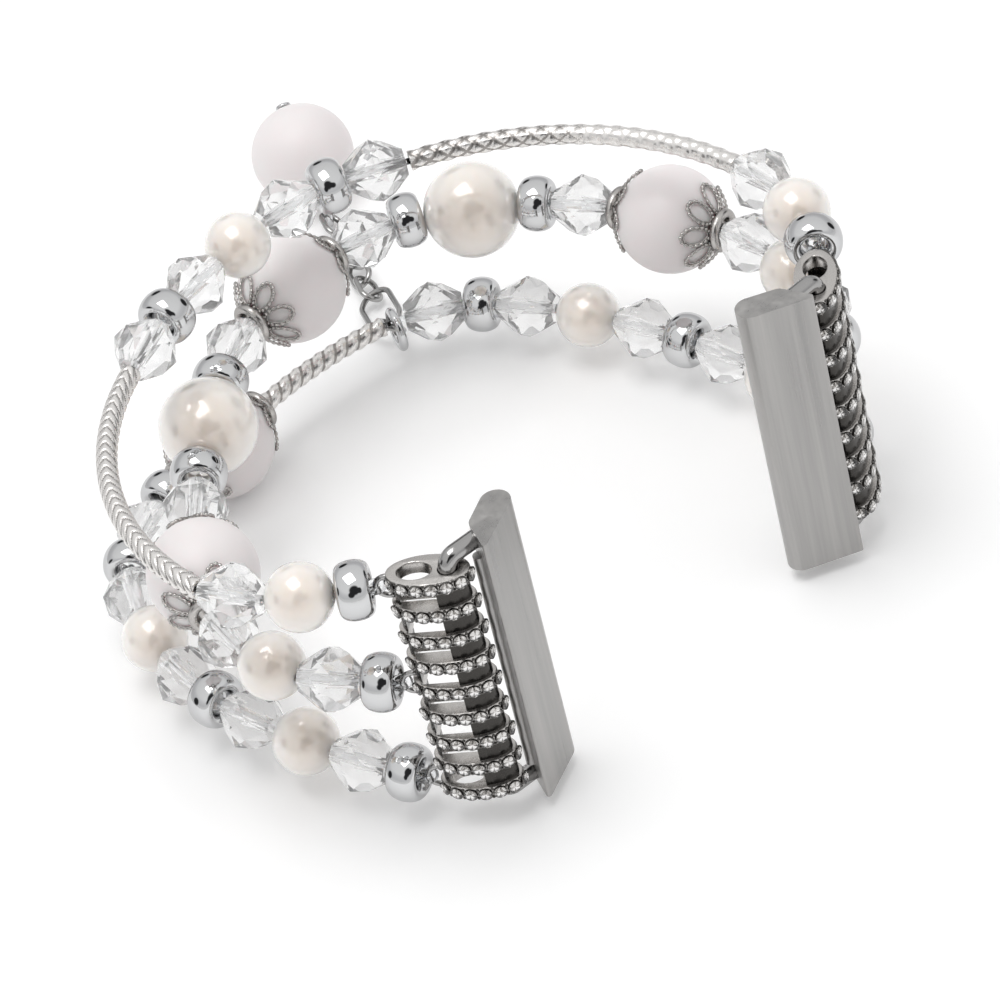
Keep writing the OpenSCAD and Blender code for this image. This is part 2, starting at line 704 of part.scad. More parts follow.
connector();  // left_connector
rhinestones();  // left_rhinestones
lug_bar();  // left_lug_bar
lug_arms();  // left_lug_arms
lug_detent();  // left_lug_detent
right() connector();  // right_connector
right() rhinestones();  // right_rhinestones
right() lug_bar();  // right_lug_bar
right() lug_arms();  // right_lug_arms
right() lug_detent();  // right_lug_detent
cord(rows[0]);  // top_cord
cord(rows[1]);  // middle_cord
cord(rows[2]);  // bottom_cord
rondelles(rows[0]);  // top_rondelles
rondelles(rows[1]);  // middle_rondelles
rondelles(rows[2]);  // bottom_rondelles
crystals(rows[0]);  // top_crystals
crystals(rows[1]);  // middle_crystals
crystals(rows[2]);  // bottom_crystals
pearl(rows[0], places(rows[0], "P")[0], pearl_d);  // top_pearl_1
pearl(rows[0], places(rows[0], "P")[1], pearl_d);  // top_pearl_2
pearl(rows[0], places(rows[0], "P")[2], pearl_d);  // top_pearl_3
pearl(rows[1], places(rows[1], "P")[0], pearl_d);  // middle_pearl_1
pearl(rows[1], places(rows[1], "P")[1], pearl_d);  // middle_pearl_2
pearl(rows[2], places(rows[2], "P")[0], pearl_d);  // bottom_pearl_1
pearl(rows[2], places(rows[2], "P")[1], pearl_d);  // bottom_pearl_2
pearl(rows[2], places(rows[2], "P")[2], pearl_d);  // bottom_pearl_3
pearl(rows[2], places(rows[2], "P")[3], pearl_d);  // bottom_pearl_4
pearl(rows[1], places(rows[1], "B")[0], big_pearl_d);  // big_pearl_1
pearl(rows[1], places(rows[1], "B")[1], big_pearl_d);  // big_pearl_2
color(chrome) bent_tube(rows[0], places(rows[0], "L")[0]);  // top_tube_1
color(chrome) bent_tube(rows[0], places(rows[0], "L")[1]);  // top_tube_2
color(chrome) bent_tube(rows[2], places(rows[2], "T")[0]);  // bottom_tube
stone(rows[1], places(rows[1], "S")[0]);  // middle_stone_1
stone(rows[1], places(rows[1], "S")[1]);  // middle_stone_2
stone(rows[1], places(rows[1], "S")[2]);  // middle_stone_3
stone(rows[2], places(rows[2], "S")[0]);  // bottom_stone
caps(rows[1], places(rows[1], "S")[0]);  // middle_caps_1
caps(rows[1], places(rows[1], "S")[1]);  // middle_caps_2
caps(rows[1], places(rows[1], "S")[2]);  // middle_caps_3
caps(rows[2], places(rows[2], "S")[0]);  // bottom_caps
charm_ring();
chain_link(large_at);  // charm_large_link
/* charm_small_links */ for (i = [0 : len(links) - 1]) if (i != large_at) chain_link(i);
charm_pin();
charm_bead();
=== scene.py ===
# %% [markdown]
# # A beaded watch band
#
# This notebook dresses a bracelet band for a watch: three rows of pearls, cut crystals, chrome rondelles
# and frosted stones on clear elastic, between two ribbed end connectors that are set with rhinestones.
# A packed construction model gives the frame, with every piece in its real place and size in metres.
# The pieces with fine detail are built here over the frame. The lug bars, their arms and their catches
# stay as the frame has them and only get their finish.

# %% The frame and the units
import json
import math

import bmesh
import bpy
import numpy as np
from mathutils import Matrix, Vector


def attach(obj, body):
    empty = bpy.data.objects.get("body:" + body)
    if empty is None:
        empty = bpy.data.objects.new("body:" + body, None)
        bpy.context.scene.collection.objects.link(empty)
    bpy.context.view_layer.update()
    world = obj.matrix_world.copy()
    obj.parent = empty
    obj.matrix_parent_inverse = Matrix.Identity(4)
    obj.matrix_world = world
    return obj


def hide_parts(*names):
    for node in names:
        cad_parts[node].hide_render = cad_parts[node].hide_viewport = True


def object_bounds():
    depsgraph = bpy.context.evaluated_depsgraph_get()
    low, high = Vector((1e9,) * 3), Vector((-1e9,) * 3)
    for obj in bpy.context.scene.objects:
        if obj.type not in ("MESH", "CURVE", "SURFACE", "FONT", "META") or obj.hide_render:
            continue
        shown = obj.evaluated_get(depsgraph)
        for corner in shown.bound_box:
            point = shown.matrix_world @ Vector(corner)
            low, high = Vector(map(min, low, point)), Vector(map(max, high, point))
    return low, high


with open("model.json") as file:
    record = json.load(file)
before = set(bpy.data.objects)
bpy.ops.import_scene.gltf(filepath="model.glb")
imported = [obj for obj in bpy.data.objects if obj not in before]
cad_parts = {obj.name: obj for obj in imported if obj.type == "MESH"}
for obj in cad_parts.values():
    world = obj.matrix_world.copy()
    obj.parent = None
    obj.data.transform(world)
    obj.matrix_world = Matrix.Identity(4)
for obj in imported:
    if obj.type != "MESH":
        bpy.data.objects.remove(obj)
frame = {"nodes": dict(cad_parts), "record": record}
cad_low, cad_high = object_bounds()
mm = 0.001
joint_of = {joint["name"]: joint for joint in frame["record"]["behaviour"]["joints"]}
print("frame:", len(frame["nodes"]), "pieces, size in mm", [round(s / mm, 1) for s in cad_high - cad_low])

# %% [markdown]
# ## Where the beads lie
#
# Each row is a chain of beads on a cord, so the cord's bow in plan settles the place of every bead. A few
# listed points give the bow's shape. The bow is scaled until it is as long as all its beads, and
# the beads are laid along it. Each bead then sits on the straight line between its two ends on the cord.
# Typing in a place for each of sixty beads would break as soon as one bead changed its size.

# %% Sizes of the beads and the order in each row
pearl_d, big_pearl_d, stone_d = 6 * mm, 9 * mm, 10 * mm
crystal_l, crystal_d, crystal_end_d = 5.6 * mm, 6 * mm, 2.6 * mm
rondelle_l, rondelle_d, rondelle_bore_d = 2.9 * mm, 5.2 * mm, 2.1 * mm
tube_d, tube_bore_d, tube_room = 1.9 * mm, 1.0 * mm, 0.15 * mm
long_tube_l, short_tube_l = 32 * mm, 14 * mm
collar_wire_d, ring_wire_d, ring_room = 0.9 * mm, 0.9 * mm, 0.3 * mm
bore_d, cord_d, row_pitch = 0.9 * mm, 0.6 * mm, 11.2 * mm
bead_length = {
    "rondelle": rondelle_l,
    "pearl": pearl_d,
    "big pearl": big_pearl_d,
    "crystal": crystal_l,
    "stone": stone_d + 2 * collar_wire_d,
    "long tube": long_tube_l + 2 * tube_room,
    "short tube": short_tube_l + 2 * tube_room,
    "ring": ring_wire_d + 2 * ring_room,
}
letters = {"R": "rondelle", "P": "pearl", "B": "big pearl", "C": "crystal", "S": "stone",
           "L": "long tube", "T": "short tube", "J": "ring"}
row_plans = {
    "top": {
        "beads": "RPCLCRCPCRCLCPR", "height": row_pitch, "gap": 0.25 * mm,
        "bow": [(-31.5, 11.5), (-34, 24), (-22, 40.5), (-6, 47), (9.1, 45.5), (26.3, 29.9), (28.7, 13.2)],
    },
    "middle": {
        "beads": "RCPCSCRBRCSCRBRCSCPCR", "height": 0.0, "gap": 0.25 * mm,
        "bow": [(-31.1, 15.9), (-27.6, 29), (-11.8, 45.7), (2.5, 52.2), (17.6, 48.2), (29, 31.6),
                (30.8, 15.9)],
    },
    "bottom": {
        "beads": "RCPCRCPCRCRSTJCRCPCRCPCR", "height": -row_pitch, "gap": 0.35 * mm,
        "bow": [(-30.2, 17.2), (-31.5, 33.1), (-24.6, 48.7), (-7.2, 54.4), (12.4, 53.5), (22.6, 42.6),
                (28.6, 20.1)],
    },
}

# %% The bow of a row
staple_wire_r, staple_room = 0.25 * mm, 0.1 * mm
connector_turn, straight_run = math.radians(133), 8 * mm
staple = Vector(joint_of["left_connector_swing"]["pos_m"][:2])
far_staple = Vector(joint_of["right_connector_swing"]["pos_m"][:2])
steps_between_points = 12


def direction(angle):
    return Vector((math.cos(angle), math.sin(angle)))


def turn_of(vector):
    return math.atan2(vector.y, vector.x)


def spline(a, b, c, d, t):
    return (2 * b + (c - a) * t + (2 * a - 5 * b + 4 * c - d) * t**2 + (3 * b - a - 3 * c + d) * t**3) / 2


def curve(bow, scale):
    run = straight_run * direction(connector_turn)
    inner = [Vector((x * mm * scale, staple.y + (y * mm - staple.y) * scale)) for x, y in bow]
    knots = [staple - run, staple, *inner, far_staple, far_staple + Vector((run.x, -run.y))]
    points = [
        spline(*knots[i - 1:i + 3], j / steps_between_points)
        for i in range(1, len(knots) - 2)
        for j in range(steps_between_points)
    ]
    return points + [far_staple]


def distances(points):
    steps = [(b - a).length for a, b in zip(points, points[1:])]
    return np.concatenate([[0], np.cumsum(steps)])


def halved(is_too_low, low, high, rounds):
    """Halves the span from low to high in each round, towards the value where is_too_low turns false."""
    for _ in range(rounds):
        middle = (low + high) / 2
        if is_too_low(middle):
            low = middle
        else:
            high = middle
    return (low + high) / 2


def fitted_curve(bow, length):
    scale = halved(lambda s: distances(curve(bow, s))[-1] < length, 0.5, 2.0, 22)
    return curve(bow, scale)


# %% The joints of a row, between its beads
def joints_of(plan):
    kinds = [letters[letter] for letter in plan["beads"]]
    lead = staple_wire_r + staple_room - plan["gap"] / 2
    lengths = [bead_length[kind] + plan["gap"] for kind in kinds]
    points = fitted_curve(plan["bow"], sum(lengths) + 2 * lead)
    table = distances(points)
    stops = lead + np.concatenate([[0], np.cumsum(lengths)])
    xs = np.interp(stops, table, [p.x for p in points])
    ys = np.interp(stops, table, [p.y for p in points])
    return kinds, [Vector((x, y)) for x, y in zip(xs, ys)]


for row_name, plan in row_plans.items():
    plan["kinds"], plan["joints"] = joints_of(plan)
    print(row_name, "row:", len(plan["kinds"]), "beads")


def places(row, kind):
    """The places in a row where beads of one kind lie."""
    return [i for i, name in enumerate(row_plans[row]["kinds"]) if name == kind]


def on_cord(row, i):
    """The matrix that puts a bead, drawn along +X about the origin, in place i of a row."""
    plan = row_plans[row]
    start, end = plan["joints"][i], plan["joints"][i + 1]
    centre = (start + end) / 2
    turn = Matrix.Rotation(turn_of(end - start), 4, "Z")
    return Matrix.Translation((centre.x, centre.y, plan["height"])) @ turn


# %% [markdown]
# ## Mesh tools
#
# Nearly every piece here is either turned on a lathe or bent from wire. Two helpers cover both: `turned`
# spins an outline round the X axis, and `wire` sweeps a round section along a path. They return plain
# points and faces, so one object can gather many such shapes before it becomes a mesh.

# %% Shapes from points and faces
def moved(shape, matrix):
    points, faces = shape
    turned_points = np.asarray(points) @ np.array(matrix.to_3x3()).T + np.array(matrix.translation)
    return turned_points, faces


def shifted(faces, start):
    """Faces whose points are numbered from start on."""
    return [tuple(start + index for index in face) for face in faces]


def joined(shapes):
    points, faces, count = [], [], 0
    for shape_points, shape_faces in shapes:
        points.append(np.asarray(shape_points))
        faces += shifted(shape_faces, count)
        count += len(shape_points)
    return np.concatenate(points), faces


def grid_faces(rows, columns, closed=False):
    """Quads between the rings of a grid whose columns close on themselves, and its rows too if closed."""
    last = rows if closed else rows - 1
    return [
        (i * columns + j, (i + 1) % rows * columns + j,
         (i + 1) % rows * columns + (j + 1) % columns, i * columns + (j + 1) % columns)
        for i in range(last)
        for j in range(columns)
    ]


def full_turn(steps):
    """The angles of equal steps round a full turn."""
    return np.arange(steps) * 2 * math.pi / steps


def turned(outline, sides=48):
    """A closed outline of (x, radius) turned round the X axis."""
    points = [(x, r * math.cos(a), r * math.sin(a)) for x, r in outline for a in full_turn(sides)]
    return np.array(points), grid_faces(len(outline), sides, True)


def face_outward(mesh):
    """Turns the faces so that each closed shell's normals point out of it."""
    work = bmesh.new()
    work.from_mesh(mesh)
    bmesh.ops.recalc_face_normals(work, faces=work.faces)
    work.to_mesh(mesh)
    work.free()


def piece(name, shape, material, body, replaced=(), smooth=True, crease=None, materials_of=None):
    """A finished object that rides on its body, and stands for the frame's nodes that it replaces."""
    points, faces = shape
    mesh = bpy.data.meshes.new(name)
    mesh.from_pydata([tuple(point) for point in points], [], faces)
    mesh.polygons.foreach_set("use_smooth", [smooth] * len(mesh.polygons))
    for one in material if isinstance(material, list) else [material]:
        mesh.materials.append(one)
    if materials_of is not None:
        mesh.polygons.foreach_set("material_index", materials_of)
    face_outward(mesh)
    if crease is not None:
        mesh.set_sharp_from_angle(angle=math.radians(crease))
    thing = bpy.data.objects.new(name, mesh)
    bpy.context.collection.objects.link(thing)
    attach(thing, body)
    if replaced:
        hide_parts(*replaced)


# %% Wire along a path
def wire(path, radius, sides=12, closed=False, up=Vector((0, 0, 1)), relief=None):
    """A round wire swept along points, with one radius or one for each point. relief(i, angle) cuts in."""
    count = len(path)
    path = [Vector(point) for point in path]
    radii = [radius] * count if np.isscalar(radius) else radius
    points = []
    for i, point in enumerate(path):
        before = path[i - 1] if closed or i else point
        after = path[(i + 1) % count] if closed or i < count - 1 else point
        along = (after - before).normalized()
        side = up.cross(along).normalized()
        top = along.cross(side)
        for j in range(sides):
            angle = (j + 0.5) * 2 * math.pi / sides
            r = radii[i] - (relief(i, angle) if relief else 0)
            points.append(point + r * math.cos(angle) * side + r * math.sin(angle) * top)
    faces = grid_faces(count, sides, closed)
    if not closed:
        faces.append(tuple(range(sides))[::-1])
        faces.append(tuple((count - 1) * sides + j for j in range(sides)))
    return np.array([tuple(point) for point in points]), faces


# %% [markdown]
# ## Finishes
#
# The band has few colours and many kinds of shine, so each finish is told mostly by its roughness, its
# coat and its small marks. Every finish is a Principled shader with noise in real sizes: hairline
# scratches for plated metal, cloudy layers for pearls, milk and faint veins for the stones. The metals
# and pearls also have painted reflection and sheen in their base colour, which changes with the angle
# they are seen at, and the engraved cuts and connector posts have painted shade.

# %% Helpers for node materials
def added_node(tree, kind, **inputs):
    """A new node. Each input is given a value, or a link from another node's output."""
    node = tree.nodes.new(f"ShaderNode{kind}")
    for key, value in inputs.items():
        socket = node.inputs[key.replace("_", " ")]
        if isinstance(value, bpy.types.NodeSocket):
            tree.links.new(value, socket)
        else:
            socket.default_value = value
    return node


def finish(name, **values):
    material = bpy.data.materials.new(name)
    material.use_nodes = True
    shader = material.node_tree.nodes["Principled BSDF"]
    for key, value in values.items():
        shader.inputs[key.replace("_", " ")].default_value = value
    return material, material.node_tree, shader


def noise(tree, scale, detail=3.0, roughness=0.5, stretch=(1, 1, 1)):
    """Noise in metres of the object's own coordinates, stretched along the axes."""
    coordinates = added_node(tree, "TexCoord").outputs["Object"]
    mapping = added_node(tree, "Mapping", Vector=coordinates, Scale=stretch)
    texture = added_node(tree, "TexNoise", Vector=mapping.outputs["Vector"],
                         Scale=scale, Detail=detail, Roughness=roughness)
    return texture.outputs["Fac"]


def ramp(tree, source, stops):
    """Colours over a value. Each stop is (place, (red, green, blue))."""
    node = added_node(tree, "ValToRGB", Fac=source)
    for i, (place, colour) in enumerate(stops):
        element = node.color_ramp.elements[i] if i < 2 else node.color_ramp.elements.new(place)
        element.position = place
        element.color = (*colour, 1)
    return node.outputs["Color"]


def between(tree, source, low, high):
    """Maps a value of 0.3 to 0.7, where most noise lies, to low and high."""
    node = added_node(tree, "MapRange", Value=source, From_Min=0.3, From_Max=0.7, To_Min=low, To_Max=high)
    return node.outputs["Result"]


def bump(tree, shader, height, strength, distance):
    node = added_node(tree, "Bump", Height=height, Strength=strength, Distance=distance)
    tree.links.new(node.outputs["Normal"], shader.inputs["Normal"])


def painted_rim_reflection(tree, shader, middle, edge, blend):
    """The base colour goes from middle, seen square on, to edge at a glancing angle, as painted reflection:
    dark rims on most metals, light rims on the darkest.
    """
    weight = added_node(tree, "LayerWeight", Blend=blend)
    colour = ramp(tree, weight.outputs["Facing"], [(0.0, middle), (1.0, edge)])
    tree.links.new(colour, shader.inputs["Base Color"])


# %% Plated and polished metals
def plated_metal(name, middle, edge, smooth, worn, scratch_scale, blend=0.3):
    material, tree, shader = finish(name, Metallic=1.0)
    # Painted reflection: the base colour turns darker or lighter towards the rims as the metal is seen.
    painted_rim_reflection(tree, shader, middle, edge, blend)
    scratches = noise(tree, scratch_scale, 6.0, 0.65)
    tree.links.new(between(tree, scratches, smooth, worn), shader.inputs["Roughness"])
    bump(tree, shader, scratches, 0.12, 0.01 * mm)
    return material


chrome = plated_metal("polished_chrome", (0.7, 0.705, 0.71), (0.3, 0.3, 0.31), 0.04, 0.1, 900)
engraved_silver = plated_metal("engraved_silver", (0.84, 0.82, 0.8), (0.7, 0.68, 0.66), 0.2, 0.34, 1400)
# Darker colour for the faces deep in the engraved cuts: painted shade for the shadow inside them.
groove_painted_shade = plated_metal("groove_painted_shade", (0.36, 0.34, 0.325), (0.26, 0.245, 0.235), 0.25, 0.4, 1400)
dark_gunmetal = plated_metal("dark_gunmetal", (0.1, 0.095, 0.09), (0.3, 0.29, 0.28), 0.06, 0.2, 1100)
# Near-black colour for the connector posts: painted shade for the recess between the ribs.
recess_painted_shade = plated_metal("recess_painted_shade_metal", (0.04, 0.037, 0.034), (0.16, 0.155, 0.15), 0.12, 0.4, 1500)
cast_gunmetal = plated_metal("cast_gunmetal", (0.6, 0.58, 0.56), (0.36, 0.345, 0.335), 0.16, 0.38, 2600)
# Silver whose rims go much darker at a glancing angle: painted shade on the caps' fine wires.
antique_silver = plated_metal(
    "antique_silver", (0.6, 0.58, 0.56), (0.14, 0.13, 0.125), 0.14, 0.34, 1600, 0.42)
arm_steel = plated_metal("arm_steel", (0.42, 0.415, 0.41), (0.24, 0.24, 0.24), 0.1, 0.22, 800)


# %% Brushed steel of the lug bars
def brushed(name, colour, dark):
    material, tree, shader = finish(name, Metallic=1.0, Anisotropic=0.5)
    grain = noise(tree, 900, 4.0, 0.6, (1, 1, 0.03))
    tree.links.new(ramp(tree, grain, [(0.3, dark), (0.7, colour)]), shader.inputs["Base Color"])
    tree.links.new(between(tree, grain, 0.24, 0.4), shader.inputs["Roughness"])
    bump(tree, shader, grain, 0.15, 0.01 * mm)
    return material


lug_steel = brushed("lug_steel", (0.44, 0.43, 0.42), (0.32, 0.315, 0.31))


# %% Pearl, frosted stone, cut glass and elastic
def pearly(name):
    material, tree, shader = finish(
        name, IOR=1.6, Metallic=0.15, Coat_Weight=0.9, Coat_Roughness=0.12,
        Sheen_Weight=0.1, Sheen_Roughness=0.4,
        Subsurface_Weight=0.3, Subsurface_Scale=0.8 * mm, Subsurface_Radius=(1.0, 0.8, 0.6))
    layers = noise(tree, 260, 3.0, 0.5)
    # Painted light in the base colour: darker and warmer where the pearl is seen square on, a painted dark
    # reflection, then lighter part way out, a painted sheen, and a little darker again at the rim.
    weight = added_node(tree, "LayerWeight", Blend=0.45)
    painted_sheen = ramp(tree, weight.outputs["Facing"], [
        (0.0, (0.92, 0.83, 0.75)), (0.3, (0.97, 0.91, 0.86)),
        (0.75, (0.98, 0.945, 0.905)), (1.0, (0.94, 0.88, 0.82))])
    cloud = ramp(tree, layers, [(0.35, (0.95, 0.94, 0.93)), (0.65, (1.0, 1.0, 1.0))])
    mix = added_node(tree, "Mix")
    mix.data_type = "RGBA"
    mix.blend_type = "MULTIPLY"
    mix.inputs["Factor"].default_value = 1.0
    tree.links.new(painted_sheen, mix.inputs["A"])
    tree.links.new(cloud, mix.inputs["B"])
    tree.links.new(mix.outputs["Result"], shader.inputs["Base Color"])
    tree.links.new(between(tree, layers, 0.17, 0.26), shader.inputs["Roughness"])
    return material


def frosted(name):
    material, tree, shader = finish(
        name, IOR=1.45, Coat_Weight=0.12, Coat_Roughness=0.25,
        Subsurface_Weight=0.8, Subsurface_Scale=2 * mm, Subsurface_Radius=(1.0, 0.85, 0.88))
    veins = noise(tree, 90, 2.0, 0.4)
    milk = ramp(tree, veins, [(0.3, (0.83, 0.785, 0.785)), (0.7, (0.885, 0.85, 0.845))])
    tree.links.new(milk, shader.inputs["Base Color"])
    tree.links.new(between(tree, veins, 0.42, 0.52), shader.inputs["Roughness"])
    return material


def cut_glass(name, ior, smudge_scale, clear=1.0, smooth=0.0, worn=0.035, tint=(1.0, 1.0, 1.0)):
    material, tree, shader = finish(name, IOR=ior, Transmission_Weight=clear, Base_Color=(*tint, 1.0))
    smudges = noise(tree, smudge_scale, 3.0, 0.5)
    tree.links.new(between(tree, smudges, smooth, worn), shader.inputs["Roughness"])
    return material


pearl = pearly("pearl")
frosted_stone = frosted("frosted_stone")
crystal_glass = cut_glass("crystal_glass", 1.47, 300, 0.86, 0.02, 0.07)
rhinestone_glass = cut_glass("rhinestone_glass", 1.6, 800)
foil = plated_metal("mirror_foil", (0.9, 0.89, 0.88), (0.6, 0.59, 0.58), 0.02, 0.06, 2500)
# A darker foil for every fourth back facet of a rhinestone: painted reflection of the dark cup wall.
foil_painted_reflection = plated_metal("foil_painted_reflection", (0.28, 0.265, 0.25), (0.4, 0.385, 0.37), 0.05, 0.12, 2500)
clear_elastic = cut_glass("clear_elastic", 1.48, 900, tint=(0.93, 0.94, 0.95))

# %% [markdown]
# ## Pearls and stones
#
# A strung pearl is a ball with a fine bore. Turning one outline gives both at once, and the rim of the
# bore is rounded, as it wears on a real bead. The four stones and the charm are the same shape in a milky
# stone that lets some light through.

# %% Balls with a bore
bore_flare, bore_lip = 1.25, 0.12 * mm


def ball_outline(diameter, points=36):
    r, hole = diameter / 2, bore_d / 2
    rim = math.asin(hole * bore_flare / r)
    arc = [(-r * math.cos(a), r * math.sin(a)) for a in np.linspace(rim, math.pi - rim, points)]
    inner = arc[-1][0] - bore_lip
    return arc + [(inner, hole), (-inner, hole)]


def strung_ball(name, row, i, diameter, material):
    shape = moved(turned(ball_outline(diameter), 56), on_cord(row, i))
    piece(f"{name}_bead", shape, material, name, [name])


for row in row_plans:
    for number, i in enumerate(places(row, "pearl"), 1):
        strung_ball(f"{row}_pearl_{number}", row, i, pearl_d, pearl)
for number, i in enumerate(places("middle", "big pearl"), 1):
    strung_ball(f"big_pearl_{number}", "middle", i, big_pearl_d, pearl)
stones = [(f"middle_stone_{n}", "middle", i, f"middle_caps_{n}")
          for n, i in enumerate(places("middle", "stone"), 1)]
stones.append(("bottom_stone", "bottom", places("bottom", "stone")[0], "bottom_caps"))
for name, row, i, caps_node in stones:
    strung_ball(name, row, i, stone_d, frosted_stone)
print("stones:", [name for name, *_ in stones])

# %% [markdown]
# ## Crystals
#
# The crystals are bicones: two faceted cones on one waist. Each cone has eight long facets that run from
# the small end towards the waist, and short triangles that point back from the waist between them. The
# faces stay flat, because a cut crystal has no round surface, and the bore shows through the glass.

# %% A bicone crystal
crystal_sides = 8


def ring(x, radius, phase, sides=crystal_sides):
    """Points on a circle round the X axis, turned by a phase in steps."""
    angles = [(j + phase) * 2 * math.pi / sides for j in range(sides)]
    return [(x, radius * math.cos(a), radius * math.sin(a)) for a in angles]


def crystal_shape():
    half, waist, end = crystal_l / 2, crystal_d / 2, crystal_end_d / 2
    break_x, break_r = 0.42 * half, 0.815 * waist
    bore_sides = 16
    points = (
        ring(-half, end, 0.5) + ring(-break_x, break_r, 0.0) + ring(0, waist, 0.5)
        + ring(break_x, break_r, 0.0) + ring(half, end, 0.5)
        + ring(-half, bore_d / 2, 0.25, bore_sides) + ring(half, bore_d / 2, 0.25, bore_sides))
    faces = []
    left, low, waist_row, high, right = (k * crystal_sides for k in range(5))
    for side in range(crystal_sides):
        after = (side + 1) % crystal_sides
        for outer, inner in ((left, low), (right, high)):
            faces += [
                (outer + side, outer + after, inner + after),
                (inner + side, outer + side, inner + after),
                (inner + side, inner + after, waist_row + side),
                (waist_row + side, inner + after, waist_row + after),
            ]
    left_bore = 5 * crystal_sides
    faces += shifted(grid_faces(2, bore_sides), left_bore)
    for outer, inner in ((left, left_bore), (right, left_bore + bore_sides)):
        for j in range(bore_sides):
            k = (j + 1) % bore_sides
            corner, corner_after = outer + j // 2, outer + (j // 2 + 1) % crystal_sides
            if j % 2:
                faces += [(inner + j, inner + k, corner_after), (corner, inner + j, corner_after)]
            else:
                faces.append((inner + j, inner + k, corner))
    return np.array(points), faces


def strung(row, kind, shape):
    return joined([moved(shape, on_cord(row, i)) for i in places(row, kind)])


for row in row_plans:
    piece(f"{row}_cut_crystals", strung(row, "crystal", crystal_shape()), crystal_glass,
          "bead_rows", [f"{row}_crystals"], smooth=False)

# %% [markdown]
# ## Rondelles
#
# A rondelle is a short, thick chrome ring that keeps two beads apart. Its section is a rounded bar. A
# superellipse gives that shape in one formula: a power of 2 would be a plain ellipse, and a little more
# fills its corners, which makes the flat bright band round the middle.

# %% Chrome rondelles
def rondelle_outline(count=44, power=2.05):
    wall = (rondelle_d - rondelle_bore_d) / 4
    middle = rondelle_bore_d / 2 + wall
    outline = []
    for a in full_turn(count):
        x, y = math.cos(a), math.sin(a)
        outline.append((rondelle_l / 2 * math.copysign(abs(x) ** (2 / power), x),
                        middle + wall * math.copysign(abs(y) ** (2 / power), y)))
    return outline


for row in row_plans:
    piece(f"{row}_chrome_rondelles", strung(row, "rondelle", turned(rondelle_outline())), chrome,
          "bead_rows", [f"{row}_rondelles"])

# %% [markdown]
# ## Filigree caps
#
# Each stone sits between two caps of open petals. On the real cap every petal is a loop of wire edged
# with tiny grains, and the loops meet at a plain ring. So each petal is a closed wire that lies on the
# stone's ball, with a radius that swells and thins to make the grains, and a smooth wire inside it.

# %% A cap
cap_petals, grains = 8, 17
grain_neck_r, grain_rise, inner_wire_r = 0.07 * mm, 0.11 * mm, 0.075 * mm
seat_r = stone_d / 2 + 0.03 * mm
petal_reach, petal_half, petal_width = 2.75 * mm, 1.25 * mm, 0.8528 * mm
petal_taper, inner_shrink, inner_width = 0.28, 0.22 * mm, 0.6724 * mm
outer_lift, inner_lift = 0.16 * mm, 0.12 * mm
collar_r, shell_bore_r, shell_h = 1.6 * mm, 0.6 * mm, 0.36 * mm


def on_ball(reach, across, turn, lift):
    """A point over the stone at a distance from the cap's axis and across the petal."""
    radius = seat_r + lift
    angle = turn + across / reach
    return Vector((math.sqrt(radius**2 - reach**2), reach * math.cos(angle), reach * math.sin(angle)))


def petal_loop(turn, half, width, count, lift):
    """The line of a petal's wire, round the middle of the petal."""
    loop = []
    for a in full_turn(count):
        across = width * math.sin(a) * (1 + petal_taper * math.cos(a))
        loop.append(on_ball(petal_reach + half * math.cos(a), across, turn, lift))
    return loop


def cap_shape():
    steps = grains * 6
    swells = [abs(math.cos(math.pi * grains * j / steps)) for j in range(steps)]
    grain_radii = [grain_neck_r + grain_rise * swell for swell in swells]
    shapes = []
    for k in range(cap_petals):
        turn = (k + 0.5) * 2 * math.pi / cap_petals
        outer = petal_loop(turn, petal_half, petal_width, len(grain_radii), outer_lift)
        inner = petal_loop(turn, petal_half - inner_shrink, inner_width, 32, inner_lift)
        shapes.append(wire(outer, grain_radii, 6, True, Vector((1, 0, 0))))
        shapes.append(wire(inner, inner_wire_r, 6, True, Vector((1, 0, 0))))
    reaches = np.linspace(shell_bore_r, collar_r, 10)
    shell = [on_ball(r, 0, 0, 0) for r in reaches] + [on_ball(r, 0, 0, shell_h) for r in reaches[::-1]]
    shapes.append(turned([(point.x, point.y) for point in shell], 40))
    wire_r = collar_wire_d / 2
    centre = stone_d / 2 + wire_r
    collar = [(centre + wire_r * math.sin(a), collar_r + wire_r * math.cos(a)) for a in full_turn(20)]
    shapes.append(turned(collar))
    return joined(shapes)


one_cap = cap_shape()
other_cap = moved(one_cap, Matrix.Rotation(math.pi, 4, "Z"))
for name, row, i, caps_node in stones:
    piece(f"{caps_node}_filigree", moved(joined([one_cap, other_cap]), on_cord(row, i)), antique_silver,
          name, [caps_node])
print("points in a cap:", len(one_cap[0]))

# %% [markdown]
# ## Engraved tubes
#
# The curved tubes are thin silver tubes with cut patterns that catch the light. A bump map would leave
# their outline smooth, so the cuts are made in the mesh: the radius falls where a cutter ran. Slanted
# cuts that meet in a herringbone cover one long tube, crossing cuts leave small diamonds on the other,
# and a rope's twist runs round the short one. The faces deep in a cut get a darker colour, which is
# painted shade standing in for the shadow inside the cut.

# %% Arcs of the tubes
def half_angle(chord_share):
    """The half angle h for which sin(h) / h is the chord's share of the arc."""
    return halved(lambda h: math.sin(h) / h > chord_share, 0.01, 3.0, 30)


def arc_of(row, i):
    plan = row_plans[row]
    start, end = plan["joints"][i], plan["joints"][i + 1]
    chord = (end - start).length
    half = half_angle(chord / (bead_length[plan["kinds"][i]] + plan["gap"]))
    radius = chord / 2 / math.sin(half)
    turn = turn_of(end - start)
    centre = (start + end) / 2 - radius * math.cos(half) * direction(turn + math.pi / 2)
    return centre, radius, half, turn


